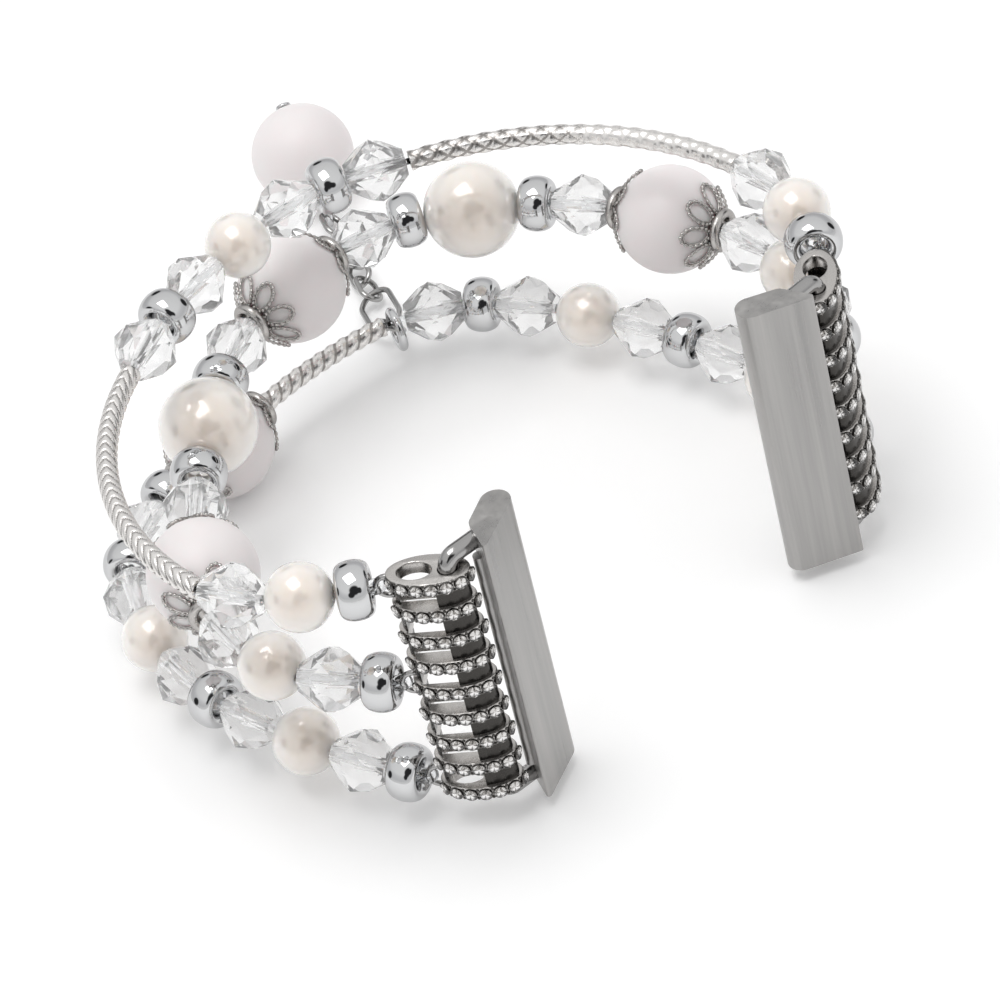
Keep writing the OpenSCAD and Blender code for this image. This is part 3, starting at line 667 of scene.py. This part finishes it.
def arc_points(row, i, count, trimmed=0.0):
    """Points along the arc in place i, trimmed at both ends by a length."""
    centre, radius, half, turn = arc_of(row, i)
    reach = half - trimmed / radius
    flat = [centre + radius * direction(turn + math.pi / 2 + a) for a in np.linspace(reach, -reach, count)]
    return [Vector((p.x, p.y, row_plans[row]["height"])) for p in flat]


# %% Cut patterns
def groove(phase, sharpness):
    """0 on the land between two cuts and 1 at the bottom of a cut."""
    return abs(math.cos(phase)) ** sharpness


def wheat_ears(x, angle, depth=0.12 * mm, pitch=1.05 * mm, slant=1.6):
    """Leaf-shaped strokes that meet in a row of points on two sides of the tube."""
    fold = abs((angle / math.pi * 2) % 2 - 1)
    return depth * groove(math.pi * (x / pitch + fold * slant), sharpness=14)


def lozenges(x, angle, depth=0.15 * mm, pitch=1.75 * mm):
    """Cuts that cross, deep at the tube's start and shallow towards its end."""
    along = math.pi * x / pitch
    crossed = max(groove(along + way * 2 * angle, sharpness=2.5) for way in (1, -1))
    fade = 1 - 0.5 * min(1.0, x / long_tube_l * 1.3)
    return depth * fade * crossed


def rope_twist(x, angle, depth=0.15 * mm, pitch=1.35 * mm):
    """Two broad cuts that wind round the tube like the strands of a rope."""
    return depth * groove(math.pi * x / pitch + angle, sharpness=2.2)


# %% Engraved tubes
def engraved_tube(name, row, i, length, relief, painted_shade_depth):
    spacing, sides = 0.07 * mm, 44
    count = int(length / spacing)
    path = arc_points(row, i, count, row_plans[row]["gap"] / 2 + tube_room)
    skin, _ = wire(path, tube_d / 2, sides, relief=lambda k, angle: relief(k * spacing, angle))
    bore_wall, _ = wire(path, tube_bore_d / 2, sides)
    outer = grid_faces(count, sides)
    inner = [face[::-1] for face in shifted(outer, len(skin))]
    ends = []
    for start in (0, (count - 1) * sides):
        for j in range(sides):
            k = (j + 1) % sides
            ends.append((start + j, start + k, start + k + len(skin), start + j + len(skin)))
    # Faces cut deeper than the given depth take the second, darker finish: painted shade in the cuts.
    dark = [int(relief((k + 0.5) * spacing, (j + 1) * 2 * math.pi / sides) > painted_shade_depth)
            for k in range(count - 1) for j in range(sides)]
    shape = (np.concatenate([skin, bore_wall]), outer + inner + ends)
    piece(f"{name}_engraved", shape, [engraved_silver, groove_painted_shade], name, [name],
          materials_of=dark + [0] * (len(inner) + len(ends)))


tube_1, tube_2 = places("top", "long tube")
short_tube = places("bottom", "short tube")[0]
tubes = [("top_tube_1", "top", tube_1), ("top_tube_2", "top", tube_2), ("bottom_tube", "bottom", short_tube)]
engraved_tube(*tubes[0], long_tube_l, wheat_ears, painted_shade_depth=0.07 * mm)
engraved_tube(*tubes[1], long_tube_l, lozenges, painted_shade_depth=0.1 * mm)
engraved_tube(*tubes[2], short_tube_l, rope_twist, painted_shade_depth=0.13 * mm)

# %% [markdown]
# ## Elastic cords
#
# Each cord is one strand of clear elastic. It goes round the connector's staple, ends in a short tail
# beside itself, and its knot hides in the bore of the first rondelle. The route is the row's own line, so
# the cord passes through the middle of every bead. A curved tube can roll about the line through its ends,
# and the cord inside has to go with it, so that stretch is a piece of its own on the tube's body.

# %% Cord routes
cord_r, eye_room, strand_room = cord_d / 2, 0.08 * mm, 0.03 * mm
cord_eye_r = staple_wire_r + eye_room + cord_r
knot_x, knot_r = staple_wire_r + staple_room + rondelle_l / 2, 0.75 * mm
tail = Vector((knot_x - 0.85 * mm, cord_r + strand_room))


def loop_at_staple():
    """The cord's tail, its loop round a staple at the origin, and its knot, as (x, y, radius)."""
    turn = turn_of(tail) + math.acos(cord_eye_r / tail.length)
    loop = [(tail.x, -tail.y, cord_r)]
    for a in np.linspace(-turn, turn - 2 * math.pi, 17):
        loop.append((cord_eye_r * math.cos(a), cord_eye_r * math.sin(a), cord_r))
    loop += [(tail.x, tail.y, cord_r), (knot_x - 0.6 * mm, 0.13 * mm, cord_r)]
    step, shoulder, neck = 0.2 * mm, knot_r - 0.1 * mm, 0.35 * mm
    for place, radius in ((-2, neck), (-1, shoulder), (0, knot_r), (1, shoulder), (2, neck)):
        loop.append((knot_x + place * step, 0.0, radius))
    loop.append((knot_x + knot_r, 0.0, cord_r))
    return loop


def placed(loop, point, turn, side, height):
    """A loop moved to a point and turned, and mirrored where side is -1."""
    flat = [(point + x * direction(turn) + side * y * direction(turn + math.pi / 2), r) for x, y, r in loop]
    return [(Vector((p.x, p.y, height)), r) for p, r in flat]


def cord_routes(row):
    """The stretches of a row's cord outside its tubes, each a list of (point, radius)."""
    plan = row_plans[row]
    joints, height = plan["joints"], plan["height"]
    near = placed(loop_at_staple(), staple, turn_of(joints[1] - staple), 1, height)
    far = placed(loop_at_staple(), far_staple, turn_of(joints[-2] - far_staple), -1, height)
    stretches = [near]
    for i in range(1, len(plan["kinds"])):
        joint = (Vector((joints[i].x, joints[i].y, height)), cord_r)
        stretches[-1].append(joint)
        if "tube" in plan["kinds"][i]:
            stretches.append([])
    stretches[-1] += far[::-1]
    return stretches


cord_overlap = 0.1 * mm


def cord_shape(stretch):
    return wire([point for point, _ in stretch], [radius for _, radius in stretch], 14)


for row in row_plans:
    piece(f"{row}_elastic_cord", joined([cord_shape(stretch) for stretch in cord_routes(row)]), clear_elastic,
          "bead_rows", [f"{row}_cord"])
for name, row, i in tubes:
    inside = [(point, cord_r) for point in arc_points(row, i, 13, -cord_overlap)]
    piece(f"{name}_cord_inside", cord_shape(inside), clear_elastic, name)

# %% [markdown]
# ## End connectors
#
# A connector is an open cage of cast metal: nine oval ribs, joined by one post at the bead end and one
# round the lug's peg, with a well down the middle that every other inner rib leaves open at the back.
# Flat plates like these are quickest as 2D curves. A closed curve inside another one becomes a hole,
# Extrude gives the thickness, and Bevel rounds the edges, which then catch thin lines of light.

# %% Plates cut from flat outlines
rib_count, rib_pitch, rib_h = 9, 3 * mm, 1.3 * mm
rib_a, rib_b, rib_recess = 3.6 * mm, 1.9 * mm, 0.35 * mm
well_l, well_w = 3 * mm, 2.1 * mm
eye_in, eye_r, eye_wall = 1.9 * mm, 0.85 * mm, 0.5 * mm
eye_x = eye_in - rib_a
well_from = eye_x + eye_r + eye_wall
window_from, window_to = well_from - 0.2 * mm, well_from + 3.05 * mm
rib_edge, front_wall, post_overlap = 0.1 * mm, 0.7 * mm, 0.04 * mm


def ellipse(centre_x, a, b, start=0.0, end=2 * math.pi, count=72):
    whole = math.isclose(end - start, 2 * math.pi)
    turns = np.linspace(start, end, count, endpoint=not whole)
    return [(centre_x + a * math.cos(t), b * math.sin(t)) for t in turns]


def plate(outlines, height, edge):
    """Points and faces of a plate: the first outline is its rim, less the rounded edge, then come holes."""
    flat = bpy.data.curves.new("plate", "CURVE")
    flat.dimensions, flat.fill_mode = "2D", "BOTH"
    flat.extrude, flat.bevel_depth, flat.bevel_resolution = height / 2 - edge, edge, 2
    for outline in outlines:
        spline_2d = flat.splines.new("POLY")
        spline_2d.points.add(len(outline) - 1)
        for point, (x, y) in zip(spline_2d.points, outline):
            point.co = (x, y, 0, 1)
        spline_2d.use_cyclic_u = True
    holder = bpy.data.objects.new("plate", flat)
    mesh = bpy.data.meshes.new_from_object(holder)
    merged = bmesh.new()
    merged.from_mesh(mesh)
    bmesh.ops.remove_doubles(merged, verts=merged.verts, dist=0.001 * mm)
    points = np.array([tuple(v.co) for v in merged.verts])
    faces = [tuple(v.index for v in face.verts) for face in merged.faces]
    merged.free()
    bpy.data.objects.remove(holder)
    bpy.data.meshes.remove(mesh)
    return points, faces


# %% Ribs, posts and staples
def rib_plate(has_eye, open_back):
    """An end rib has the round well and the peg's eye. An inner one has a square well, maybe open."""
    rim_a, rim_b = rib_a - rib_edge, rib_b - rib_edge
    left, right, top = window_from - rib_edge, window_to + rib_edge, well_w / 2 + rib_edge
    if has_eye:
        outlines = [ellipse(0, rim_a, rim_b),
                    ellipse(well_from + well_l / 2, well_l / 2 + rib_edge, well_w / 2 + rib_edge),
                    ellipse(eye_x, eye_r + rib_edge, eye_r + rib_edge, count=40)]
    elif open_back:
        from_t, to_t = -math.acos(right / rim_a), 2 * math.pi - math.acos(left / rim_a)
        outlines = [ellipse(0, rim_a, rim_b, from_t, to_t) + [(left, top), (right, top)]]
    else:
        front = top - front_wall
        outlines = [ellipse(0, rim_a, rim_b), [(left, -top), (right, -top), (right, front), (left, front)]]
    return plate(outlines, rib_h, rib_edge)


def post_plates(has_eye):
    """The two posts in a gap between ribs: one round the peg's eye and one at the bead end."""
    a, b = rib_a - rib_recess, rib_b - rib_recess
    height = rib_pitch - rib_h + post_overlap
    eye_side = math.acos(window_from / a)
    bead_side = math.acos(window_to / a)
    near = [ellipse(0, a, b, eye_side, 2 * math.pi - eye_side, 48)]
    if has_eye:
        near.append(ellipse(eye_x, eye_r, eye_r, count=40))
    return [plate(near, height, 0), plate([ellipse(0, a, b, -bead_side, bead_side, 24)], height, 0)]


def up_to(height):
    return Matrix.Translation((0, 0, height))


rib_heights = [(rib - (rib_count - 1) / 2) * rib_pitch for rib in range(rib_count)]
eye_rib, closed_rib, open_rib = rib_plate(True, False), rib_plate(False, False), rib_plate(False, True)
rib_kinds = [eye_rib] + [closed_rib, open_rib] * (rib_count // 2 - 1) + [closed_rib, eye_rib]
ribs = joined([moved(kind, up_to(height)) for kind, height in zip(rib_kinds, rib_heights)])
posts = joined([
    moved(post, up_to(height + rib_pitch / 2))
    for rib, height in enumerate(rib_heights[:-1])
    for post in post_plates(rib in (0, rib_count - 2))])
staple_r, staple_foot_x = 1.05 * mm, rib_a - 0.5 * mm
half_ring = [(rib_a + staple_r * math.cos(a), 0, staple_r * math.sin(a))
             for a in np.linspace(-math.pi / 2, math.pi / 2, 25)]
staple_path = [(staple_foot_x, 0, -staple_r), *half_ring, (staple_foot_x, 0, staple_r)]
staples = joined([moved(wire(staple_path, staple_wire_r, 14, up=Vector((0, 1, 0))), up_to(plan["height"]))
                  for plan in row_plans.values()])
print("faces in the ribs:", len(ribs[1]), "and in the posts:", len(posts[1]))

# %% [markdown]
# ## Rhinestones
#
# Each rib carries seven rhinestones. Such a stone is cut glass whose pointed back has mirror foil, which
# sends the light back out in a star of bright and dark facets. It sits in a low cup whose rim is rolled
# in over its edge, and two prongs stand between one cup and the next. The point here is flatter than a
# real one, because the rib's metal lies behind it, so every fourth facet gets a darker foil: a painted
# reflection of the dark cup wall that a deeper point would mirror.

# %% A rhinestone, its cup and a prong
stones_per_rib, rhinestone_r, rhinestone_pitch, rhinestones_mid = 7, 0.6 * mm, 1.28 * mm, 4.79 * mm
foil_z, prong_r, prong_out = 0.02 * mm, 0.15 * mm, 0.47 * mm
# The rings of points of a stone, from the flat top down: height, radius, turn in steps, and corners.
stone_rings = [(0.3 * mm, 0.5 * rhinestone_r, 0.5, 8), (0.245 * mm, 0.78 * rhinestone_r, 0, 8),
               (0.17 * mm, rhinestone_r, 0, 16), (0.15 * mm, rhinestone_r, 0, 16)]


def rhinestone_shape():
    """A stone that looks along +Z: its points, its cut faces, its foiled facets below, and the back facets
    painted with a dark reflection.
    """
    points = [(y, z, x) for level in stone_rings for x, y, z in ring(*level)]
    points.append((0, 0, foil_z))
    # The rings start at points 0, 8, 16 and 32, and the foil's tip is point 48.
    crown = [tuple(range(8))]
    for j in range(8):
        k = (j + 1) % 8
        girdle = [16 + (2 * j + step) % 16 for step in range(3)]
        crown += [(j, 8 + k, k), (8 + j, girdle[0], girdle[1]), (8 + j, girdle[1], j),
                  (j, girdle[1], 8 + k), (girdle[1], girdle[2], 8 + k)]
    crown += shifted(grid_faces(2, 16), 16)
    back = [(32 + j, 48, 32 + (j + 1) % 16) for j in range(16)]
    # Every fourth back facet is set apart for the darker foil, a painted reflection of the dark cup wall.
    return np.array(points), crown, back[0::4] + back[1::4] + back[2::4], back[3::4]


def cup_shape():
    profile = [(-0.2, 0.61), (0.03, 0.635), (0.14, 0.635), (0.18, 0.62), (0.19, 0.59), (0.17, 0.575),
               (0.14, 0.605), (-0.2, 0.6)]
    return moved(turned([(z * mm, r * mm) for z, r in profile], 24), Matrix.Rotation(-math.pi / 2, 4, "Y"))


def prong_shape(rings=5, sides=10):
    points = [(y, z, prong_r * math.cos(a)) for a in np.linspace(0.15, math.pi * 0.7, rings)
              for _, y, z in ring(0, prong_r * math.sin(a), 0, sides)]
    ends = [tuple(range(sides)), tuple(range((rings - 1) * sides, rings * sides))]
    return np.array(points), grid_faces(rings, sides) + ends


# %% Places along the ribs
oval_t = np.linspace(0, 1.4 * math.pi, 500)
oval_steps = np.hypot(np.diff(rib_a * np.cos(oval_t)), np.diff(rib_b * np.sin(oval_t)))
oval_lengths = np.concatenate([[0], np.cumsum(oval_steps)])
peg = Vector(joint_of["left_lug_turn"]["pos_m"][:2])
connector_mid = peg + (rib_a - eye_in) * direction(connector_turn)
connector_place = (Matrix.Translation((connector_mid.x, connector_mid.y, 0))
                   @ Matrix.Rotation(connector_turn, 4, "Z"))


def on_rib(number, height):
    """The matrix that puts +Z square out of the rib's outer face at a stone, or at 0.5 between two stones."""
    distance = rhinestones_mid + (number - (stones_per_rib - 1) / 2) * rhinestone_pitch
    t = float(np.interp(distance, oval_lengths, oval_t))
    normal = math.atan2(rib_a * math.sin(t), rib_b * math.cos(t))
    return (Matrix.Translation((rib_a * math.cos(t), rib_b * math.sin(t), height))
            @ Matrix.Rotation(normal, 4, "Z") @ Matrix.Rotation(math.pi / 2, 4, "Y"))


stone_places = [on_rib(number, height) for height in rib_heights for number in range(stones_per_rib)]
prong_places = [on_rib(number + 0.5, height + side * prong_out)
                for height in rib_heights for number in range(stones_per_rib - 1) for side in (-1, 1)]
stone_points, crown_faces, foil_faces, painted_reflection_faces = rhinestone_shape()
stone_shape = (stone_points, crown_faces + foil_faces + painted_reflection_faces)
all_stones = joined([moved(stone_shape, place) for place in stone_places])
settings = joined([moved(cup_shape(), place) for place in stone_places]
                  + [moved(prong_shape(), place) for place in prong_places])
print("rhinestones on each side:", len(stone_places))

# %% [markdown]
# ## The two sides
#
# The right connector is the left one's mirror image, as the two are cast from mirrored moulds. Mirroring
# the points turns every face inside out, which `piece` puts right when it turns all faces outward.

# %% Both connectors
mirrored = Matrix.Diagonal((-1, 1, 1, 1))
face_slots = ([0] * len(crown_faces) + [1] * len(foil_faces) + [2] * len(painted_reflection_faces)) * len(stone_places)
for side, at_side in (("left", connector_place), ("right", mirrored @ connector_place)):
    body = f"{side}_connector"
    piece(f"{side}_ribs", moved(ribs, at_side), cast_gunmetal, body, [body], crease=30)
    # The posts get a near-black colour: painted shade for their place set back between the ribs.
    piece(f"{side}_posts", moved(posts, at_side), recess_painted_shade, body, crease=30)
    piece(f"{side}_staples", moved(staples, at_side), arm_steel, body)
    piece(f"{side}_set_rhinestones", moved(all_stones, at_side), [rhinestone_glass, foil, foil_painted_reflection], body,
          [f"{side}_rhinestones"], smooth=False, materials_of=face_slots)
    piece(f"{side}_stone_settings", moved(settings, at_side), dark_gunmetal, body, crease=50)

# %% [markdown]
# ## Lug bars and arms
#
# These are hard metal pieces whose shapes the frame already has, so only their finish is set here. The
# lug bars are brushed along their length, and the arms are bent from polished rod.

# %% Finishes of the frame's own pieces
for side in ("left", "right"):
    for node, material in (("lug_bar", lug_steel), ("lug_arms", arm_steel), ("lug_detent", arm_steel)):
        thing = frame["nodes"][f"{side}_{node}"]
        thing.data.materials.clear()
        thing.data.materials.append(material)

# %% [markdown]
# ## The charm
#
# A ring on the bottom cord carries a short chain, and a head pin with a frosted bead hangs from the
# chain's end. The links are oval wires that hook into each other, each rolled against its neighbour as
# links lie on a table. The wire is drawn a hair thinner than in the frame, so that the links stay clear of
# each other when they swing.

# %% The chain's places
chain_turn = math.radians(67)
ring_outer_d, ring_drawn_r, ring_play = 4.4 * mm, 0.43 * mm, 0.05 * mm
ring_r = (ring_outer_d - ring_wire_d) / 2
link_r, link_slack, link_wire_r = 0.3 * mm, 0.15 * mm, 0.28 * mm
small_link, large_link = (4.1 * mm, 2.7 * mm), (7 * mm, 3.8 * mm)
links = [(*small_link, -26, 35), (*large_link, -7, -22)]
links += [(*small_link, 0, roll) for roll in (38, -38, 38, -38, 38)]


def aim(turn, rise):
    return Vector((math.cos(rise) * math.cos(turn), math.cos(rise) * math.sin(turn), math.sin(rise)))


def oval_link(length, width):
    """An oval of wire along +X, with the middle of its wire at the origin where it starts."""
    r, run = (width - 2 * link_r) / 2, length - width
    near = [(r - r * math.sin(a), r * math.cos(a), 0) for a in np.linspace(0, math.pi, 17)]
    far = [(r + run + r * math.sin(a), -r * math.cos(a), 0) for a in np.linspace(0, math.pi, 17)]
    return wire(near + far, link_wire_r, 14, True)


hook = Vector(joint_of["charm_chain_swing"]["pos_m"])
link_shapes, end = [], hook
for number, (length, width, rise_deg, roll_deg) in enumerate(links):
    rise = math.radians(rise_deg)
    caught_r = ring_wire_d / 2 if number == 0 else link_r
    start = end - (link_r + caught_r + link_slack) * aim(chain_turn, rise)
    place = (Matrix.Translation(start) @ Matrix.Rotation(chain_turn, 4, "Z") @ Matrix.Rotation(-rise, 4, "Y")
             @ Matrix.Rotation(math.radians(roll_deg), 4, "X"))
    link_shapes.append(moved(oval_link(length, width), place))
    end = start + (length - 2 * link_r) * aim(chain_turn, rise)

# %% Ring, links, pin and bead
def circle_path(middle, radius, first, second, count):
    """A circle in the plane of two directions."""
    return [middle + radius * (math.cos(a) * first + math.sin(a) * second) for a in full_turn(count)]


on_bottom = Vector(joint_of["charm_ring_turn"]["pos_m"])
ring_axis = Vector(joint_of["charm_ring_turn"]["axis"])
ring_mid = on_bottom - Vector((0, 0, ring_r - ring_wire_d / 2 - cord_r - ring_play))
upward = Vector((0, 0, 1))
ring_path = circle_path(ring_mid, ring_r, upward.cross(ring_axis), upward, 48)
ring_shape = wire(ring_path, ring_drawn_r, 18, True, ring_axis)
piece("charm_round_ring", ring_shape, chrome, "charm_ring", ["charm_ring"])
piece("charm_long_oval_link", link_shapes[1], arm_steel, "charm_chain", ["charm_large_link"])
small_links = joined([link_shapes[0], *link_shapes[2:]])
piece("charm_oval_links", small_links, arm_steel, "charm_chain", ["charm_small_links"])

bead_mid = Vector(joint_of["charm_bead_spin"]["pos_m"])
pin_axis = Vector(joint_of["charm_bead_spin"]["axis"]).normalized()
charm_d, charm_room, pin_loop_r, pin_head_r = 10 * mm, 0.1 * mm, 1.1 * mm, 0.8 * mm
loop_mid = bead_mid - (pin_loop_r + link_r + charm_room + charm_d / 2) * pin_axis
pin_side = upward.cross(pin_axis).normalized()
pin_up = pin_axis.cross(pin_side)
loop_path = circle_path(loop_mid, pin_loop_r, pin_axis, pin_up, 40)
stem_end = bead_mid + (charm_d / 2 + charm_room) * pin_axis
stem_start = loop_mid + pin_loop_r * pin_axis
head = [(0, 0.04 * mm), (0, pin_head_r - 0.08 * mm), (0.08 * mm, pin_head_r),
        (0.28 * mm, pin_head_r - 0.05 * mm), (0.4 * mm, pin_head_r * 0.6), (0.4 * mm, 0.04 * mm)]
along_pin = Matrix((pin_axis, pin_side, pin_up)).transposed().to_4x4()
pin_shape = joined([
    wire(loop_path, link_wire_r, 14, True, pin_side),
    wire([stem_start, bead_mid, stem_end], link_wire_r, 14, False, pin_side),
    moved(turned(head, 32), Matrix.Translation(stem_end) @ along_pin)])
piece("charm_head_pin", pin_shape, chrome, "charm_pin", ["charm_pin"])
bead_place = Matrix.Translation(bead_mid) @ along_pin
piece("charm_frosted_bead", moved(turned(ball_outline(charm_d), 56), bead_place), frosted_stone, "charm_bead",
      ["charm_bead"])

# %% [markdown]
# ## Floor, light and camera
#
# The band stands on a white table under soft light. Polished metal shows its whole room, so the room
# matters as much as the lamps: plain white all round would leave chrome and glass without edges. A
# photo studio is white above and darker at the sides, with a few black cards and the dark place where
# the camera stands. They are drawn into the world's colour as round patches in fixed directions.

# %% The table
table_r, table_sides, table_gap, table_glow = 3.0, 96, 0.02 * mm, 0.12
table_z = cad_low.z - table_gap
table_rim = [(y, z, table_z) for _, y, z in ring(0, table_r, 0, table_sides)]
table_mesh = bpy.data.meshes.new("table_top")
table_mesh.from_pydata(table_rim, [], [tuple(range(table_sides))])
table = bpy.data.objects.new("table_top", table_mesh)
bpy.context.collection.objects.link(table)


def total(tree, values):
    """The sum of some values, held to 1."""
    so_far = values[0]
    for value in values[1:]:
        node = added_node(tree, "Math")
        node.operation, node.use_clamp = "ADD", True
        tree.links.new(so_far, node.inputs[0])
        tree.links.new(value, node.inputs[1])
        so_far = node.outputs[0]
    return so_far


table_white, tree, shader = finish("table_white", Base_Color=(0.93, 0.93, 0.93, 1), Roughness=0.6)
bump(tree, shader, noise(tree, 400, 2.0), 0.05, 0.02 * mm)
light_path = added_node(tree, "LightPath")
seen = total(tree, [light_path.outputs[f"Is {ray} Ray"] for ray in ("Camera", "Glossy", "Transmission")])
glow_share = added_node(tree, "Math")
glow_share.operation = "MULTIPLY"
glow_share.inputs[1].default_value = table_glow
tree.links.new(seen, glow_share.inputs[0])
shader.inputs["Emission Color"].default_value = (1, 1, 1, 1)
tree.links.new(glow_share.outputs[0], shader.inputs["Emission Strength"])
table_mesh.materials.append(table_white)

# %% The room's colour
world = bpy.data.worlds.new("studio")
bpy.context.scene.world = world
world.use_nodes = True
tree = world.node_tree
background = tree.nodes["Background"]
outward = added_node(tree, "TexCoord").outputs["Generated"]
split = added_node(tree, "SeparateXYZ", Vector=outward)
room = ramp(tree, split.outputs["Z"], [
    (0.0, (0.95, 0.95, 0.95)), (0.1, (0.85, 0.85, 0.85)), (0.2, (0.74, 0.74, 0.75)),
    (0.4, (0.82, 0.82, 0.83)), (0.55, (1.0, 1.0, 1.0))])


def dark_card(toward, reach_deg, edge_deg):
    """1 inside a round patch of the room and 0 outside it, with a soft edge."""
    dot = added_node(tree, "VectorMath")
    dot.operation = "DOT_PRODUCT"
    dot.inputs[1].default_value = Vector(toward).normalized()
    tree.links.new(outward, dot.inputs[0])
    rim, edge = math.cos(math.radians(reach_deg + edge_deg)), math.cos(math.radians(reach_deg))
    card = added_node(tree, "MapRange", Value=dot.outputs["Value"], From_Min=rim, From_Max=edge)
    return card.outputs["Result"]


cards = [((-0.41, -0.64, 0.66), 15, 5), ((-0.66, -0.6, 0.42), 9, 3), ((-0.12, -0.8, 0.55), 9, 3),
         ((-0.85, 0.5, 0.22), 10, 2), ((0.95, -0.15, 0.25), 11, 2), ((0.35, 0.9, 0.3), 8, 2)]
darkened = added_node(tree, "Mix")
darkened.data_type = "RGBA"
darkened.inputs["B"].default_value = (0.03, 0.03, 0.032, 1)
tree.links.new(total(tree, [dark_card(*card) for card in cards]), darkened.inputs["Factor"])
tree.links.new(room, darkened.inputs["A"])
tree.links.new(darkened.outputs["Result"], background.inputs["Color"])
background.inputs["Strength"].default_value = 0.85

# %% The softbox overhead
light = bpy.data.lights.new("overhead_softbox", "AREA")
light.shape = "RECTANGLE"
light.size, light.size_y, light.energy = 0.46, 0.38, 1.9
softbox = bpy.data.objects.new("overhead_softbox", light)
softbox.location = (-0.1, 0.05, 0.7)
band_middle = Vector((0, 0.03, 0))
softbox.rotation_euler = (band_middle - softbox.location).to_track_quat("-Z", "Y").to_euler()
bpy.context.collection.objects.link(softbox)

# %% The camera
camera_place = Vector((-205.3, -297.4, 323.1)) * mm
camera_target = Vector((-5.4, 15.1, 0.0)) * mm
camera_roll = math.radians(14.3)
camera = bpy.data.objects.new("camera", bpy.data.cameras.new("camera"))
bpy.context.collection.objects.link(camera)
camera.data.lens = 204.2
camera.data.sensor_width = 36.0
forward = (camera_target - camera_place).normalized()
level_right = forward.cross(Vector((0, 0, 1))).normalized()
level_up = level_right.cross(forward)
camera_up = math.cos(camera_roll) * level_up + math.sin(camera_roll) * level_right
camera_right = forward.cross(camera_up)
camera_turn = Matrix((camera_right, camera_up, -forward)).transposed().to_4x4()
camera.matrix_world = Matrix.Translation(camera_place) @ camera_turn
camera.data.clip_start, camera.data.clip_end = 0.01, 20
bpy.context.scene.camera = camera
bpy.context.scene.view_settings.view_transform = "Standard"
